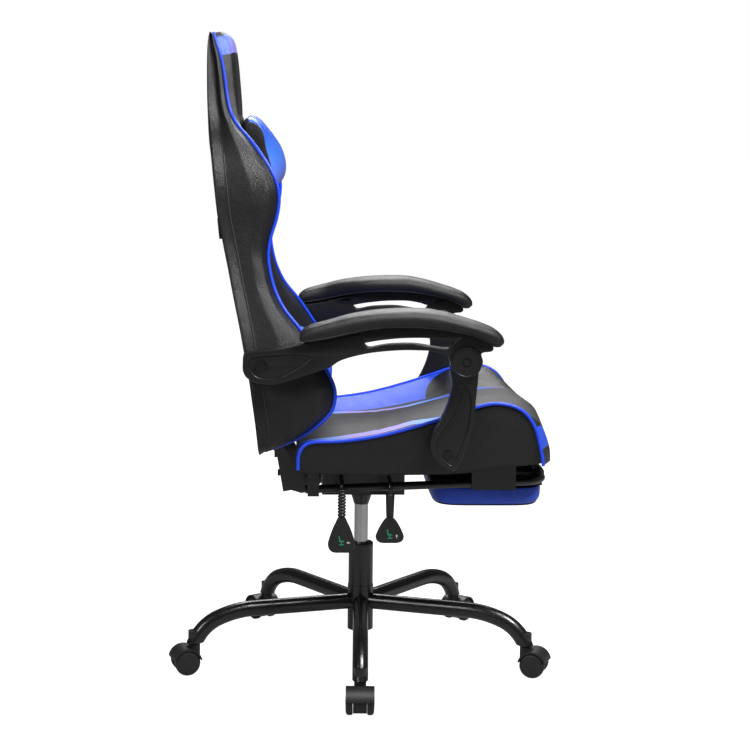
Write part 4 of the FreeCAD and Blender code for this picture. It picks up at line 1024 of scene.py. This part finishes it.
for word, half, tall in (("height", 27, 54), ("recline", 26, 73)):
    low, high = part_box(f"{word}_lever_paddle")
    top = Vector(((low.x + high.x) / 2, 0, high.z))
    grip = [(0, 0), (-5, -1), (-7, -5), (-half * 0.45, -tall * 0.2), (-half * 0.72, -tall * 0.42),
            (-half * 0.97, -tall * 0.7), (-half * 0.99, -tall * 0.82), (-half * 0.86, -tall * 0.93),
            (-half * 0.55, -tall * 0.995), (0, -tall * 1.0)]
    grip += [(-x, z) for x, z in grip[-2:0:-1]]
    made = outline_mesh(f"{word}_lever_grip", [rounded(top, grip, 120)], REACH - GRIP_HALF, REACH + GRIP_HALF,
                        0.0028, nylon)
    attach(made, f"{word}_lever")
    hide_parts(f"{word}_lever_paddle")
    middle = top + Vector((0, 0, -tall * 0.68 * MM))
    decal(f"{word}_lever_symbol", CHAIR_SYMBOL, middle + Vector((-0.001, 0, 0.001)), 1.0, 0, ink_green,
          f"{word}_lever")
    decal(f"{word}_lever_arrow", ARROW, middle + Vector((0.013, 0, -0.003)), 0.6,
          0 if word == "height" else math.pi / 2, ink_white, f"{word}_lever")


def sleeve(name, word, profile, tall):
    """A rubber sleeve round a lever's rod, from its grip up to the mechanism plate."""
    low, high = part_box(f"{word}_lever_paddle")
    middle = (low.x + high.x) / 2
    rows = [[Vector((middle + r * math.cos(a), REACH + r * math.sin(a), high.z - 0.003 + z * tall))
             for a in (math.tau * i / 32 for i in range(33))] for r, z in profile]
    made = skin(name, rows, [nylon])
    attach(made, f"{word}_lever")
    return made


BORE = 0.0042
sleeve("height_lever_sleeve", "height", [
    (BORE, 0), (0.0072, 0.01), (0.0076, 0.2), (0.0082, 0.6), (0.0086, 0.96), (0.0080, 0.99), (BORE, 1),
], 0.045)
RIBS = 9
RIB_SHAPE = [(0.0062, 0.1), (0.0079, 0.35), (0.0083, 0.55), (0.0079, 0.75), (0.0062, 0.95)]
ribs = [(r, (k + share) / RIBS) for k in range(RIBS) for r, share in RIB_SHAPE]
bellows = sleeve("recline_lever_sleeve", "recline", [(BORE, 0), *ribs, (BORE, 1)], 0.054)
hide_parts("recline_lever_bellows")
finish_node(powder_coat, "height_lever_rod", "recline_lever_rod")

# ------------------------------------------------------------------ boards and webbing
# The seat and foot boards are plywood under a black stain that still shows
# its grain. The strap is woven webbing with a fine diagonal rib.


def build_grain(group, place, start, end):
    """Long stretched noise along X, as a tone."""
    stretch = group.nodes.new("ShaderNodeMapping")
    stretch.inputs["Scale"].default_value = (1.0, 14.0, 14.0)
    noise = group.nodes.new("ShaderNodeTexNoise")
    noise.inputs["Detail"].default_value = 6.0
    group.links.new(place, stretch.inputs["Vector"])
    group.links.new(stretch.outputs["Vector"], noise.inputs["Vector"])
    group.links.new(start.outputs["Scale"], noise.inputs["Scale"])
    group.links.new(noise.outputs["Fac"], end.inputs["Tone"])


grain = surface_group("stained_grain", build_grain, {"Scale": 6.0}, ("Tone",))
stained, stained_tree, stained_shader = new_material("stained_plywood")
lines = use_group(stained_tree, grain, Scale=6.0)
stain = stained_tree.nodes.new("ShaderNodeValToRGB")
stain.color_ramp.elements[0].position, stain.color_ramp.elements[0].color = 0.3, (0.010, 0.009, 0.008, 1)
stain.color_ramp.elements[1].position, stain.color_ramp.elements[1].color = 0.75, (0.05, 0.042, 0.035, 1)
stained_tree.links.new(lines.outputs["Tone"], stain.inputs["Fac"])
stained_tree.links.new(stain.outputs["Color"], stained_shader.inputs["Base Color"])
stained_shader.inputs["Roughness"].default_value = 0.7
bump(stained_tree, stained_shader, lines.outputs["Tone"], 0.0006)
finish_node(stained, "seat_board", "footrest_board")
woven, woven_tree, woven_shader = new_material("black_webbing", (0.014, 0.014, 0.015), 0.85)
place = woven_tree.nodes.new("ShaderNodeTexCoord")
weave = add_node(woven_tree, "ShaderNodeTexWave", Scale=160.0, Distortion=0.4)
weave.bands_direction = "DIAGONAL"
woven_tree.links.new(place.outputs["Object"], weave.inputs["Vector"])
bump(woven_tree, woven_shader, weave.outputs["Fac"], 0.0006)
finish_node(woven, "pillow_strap")
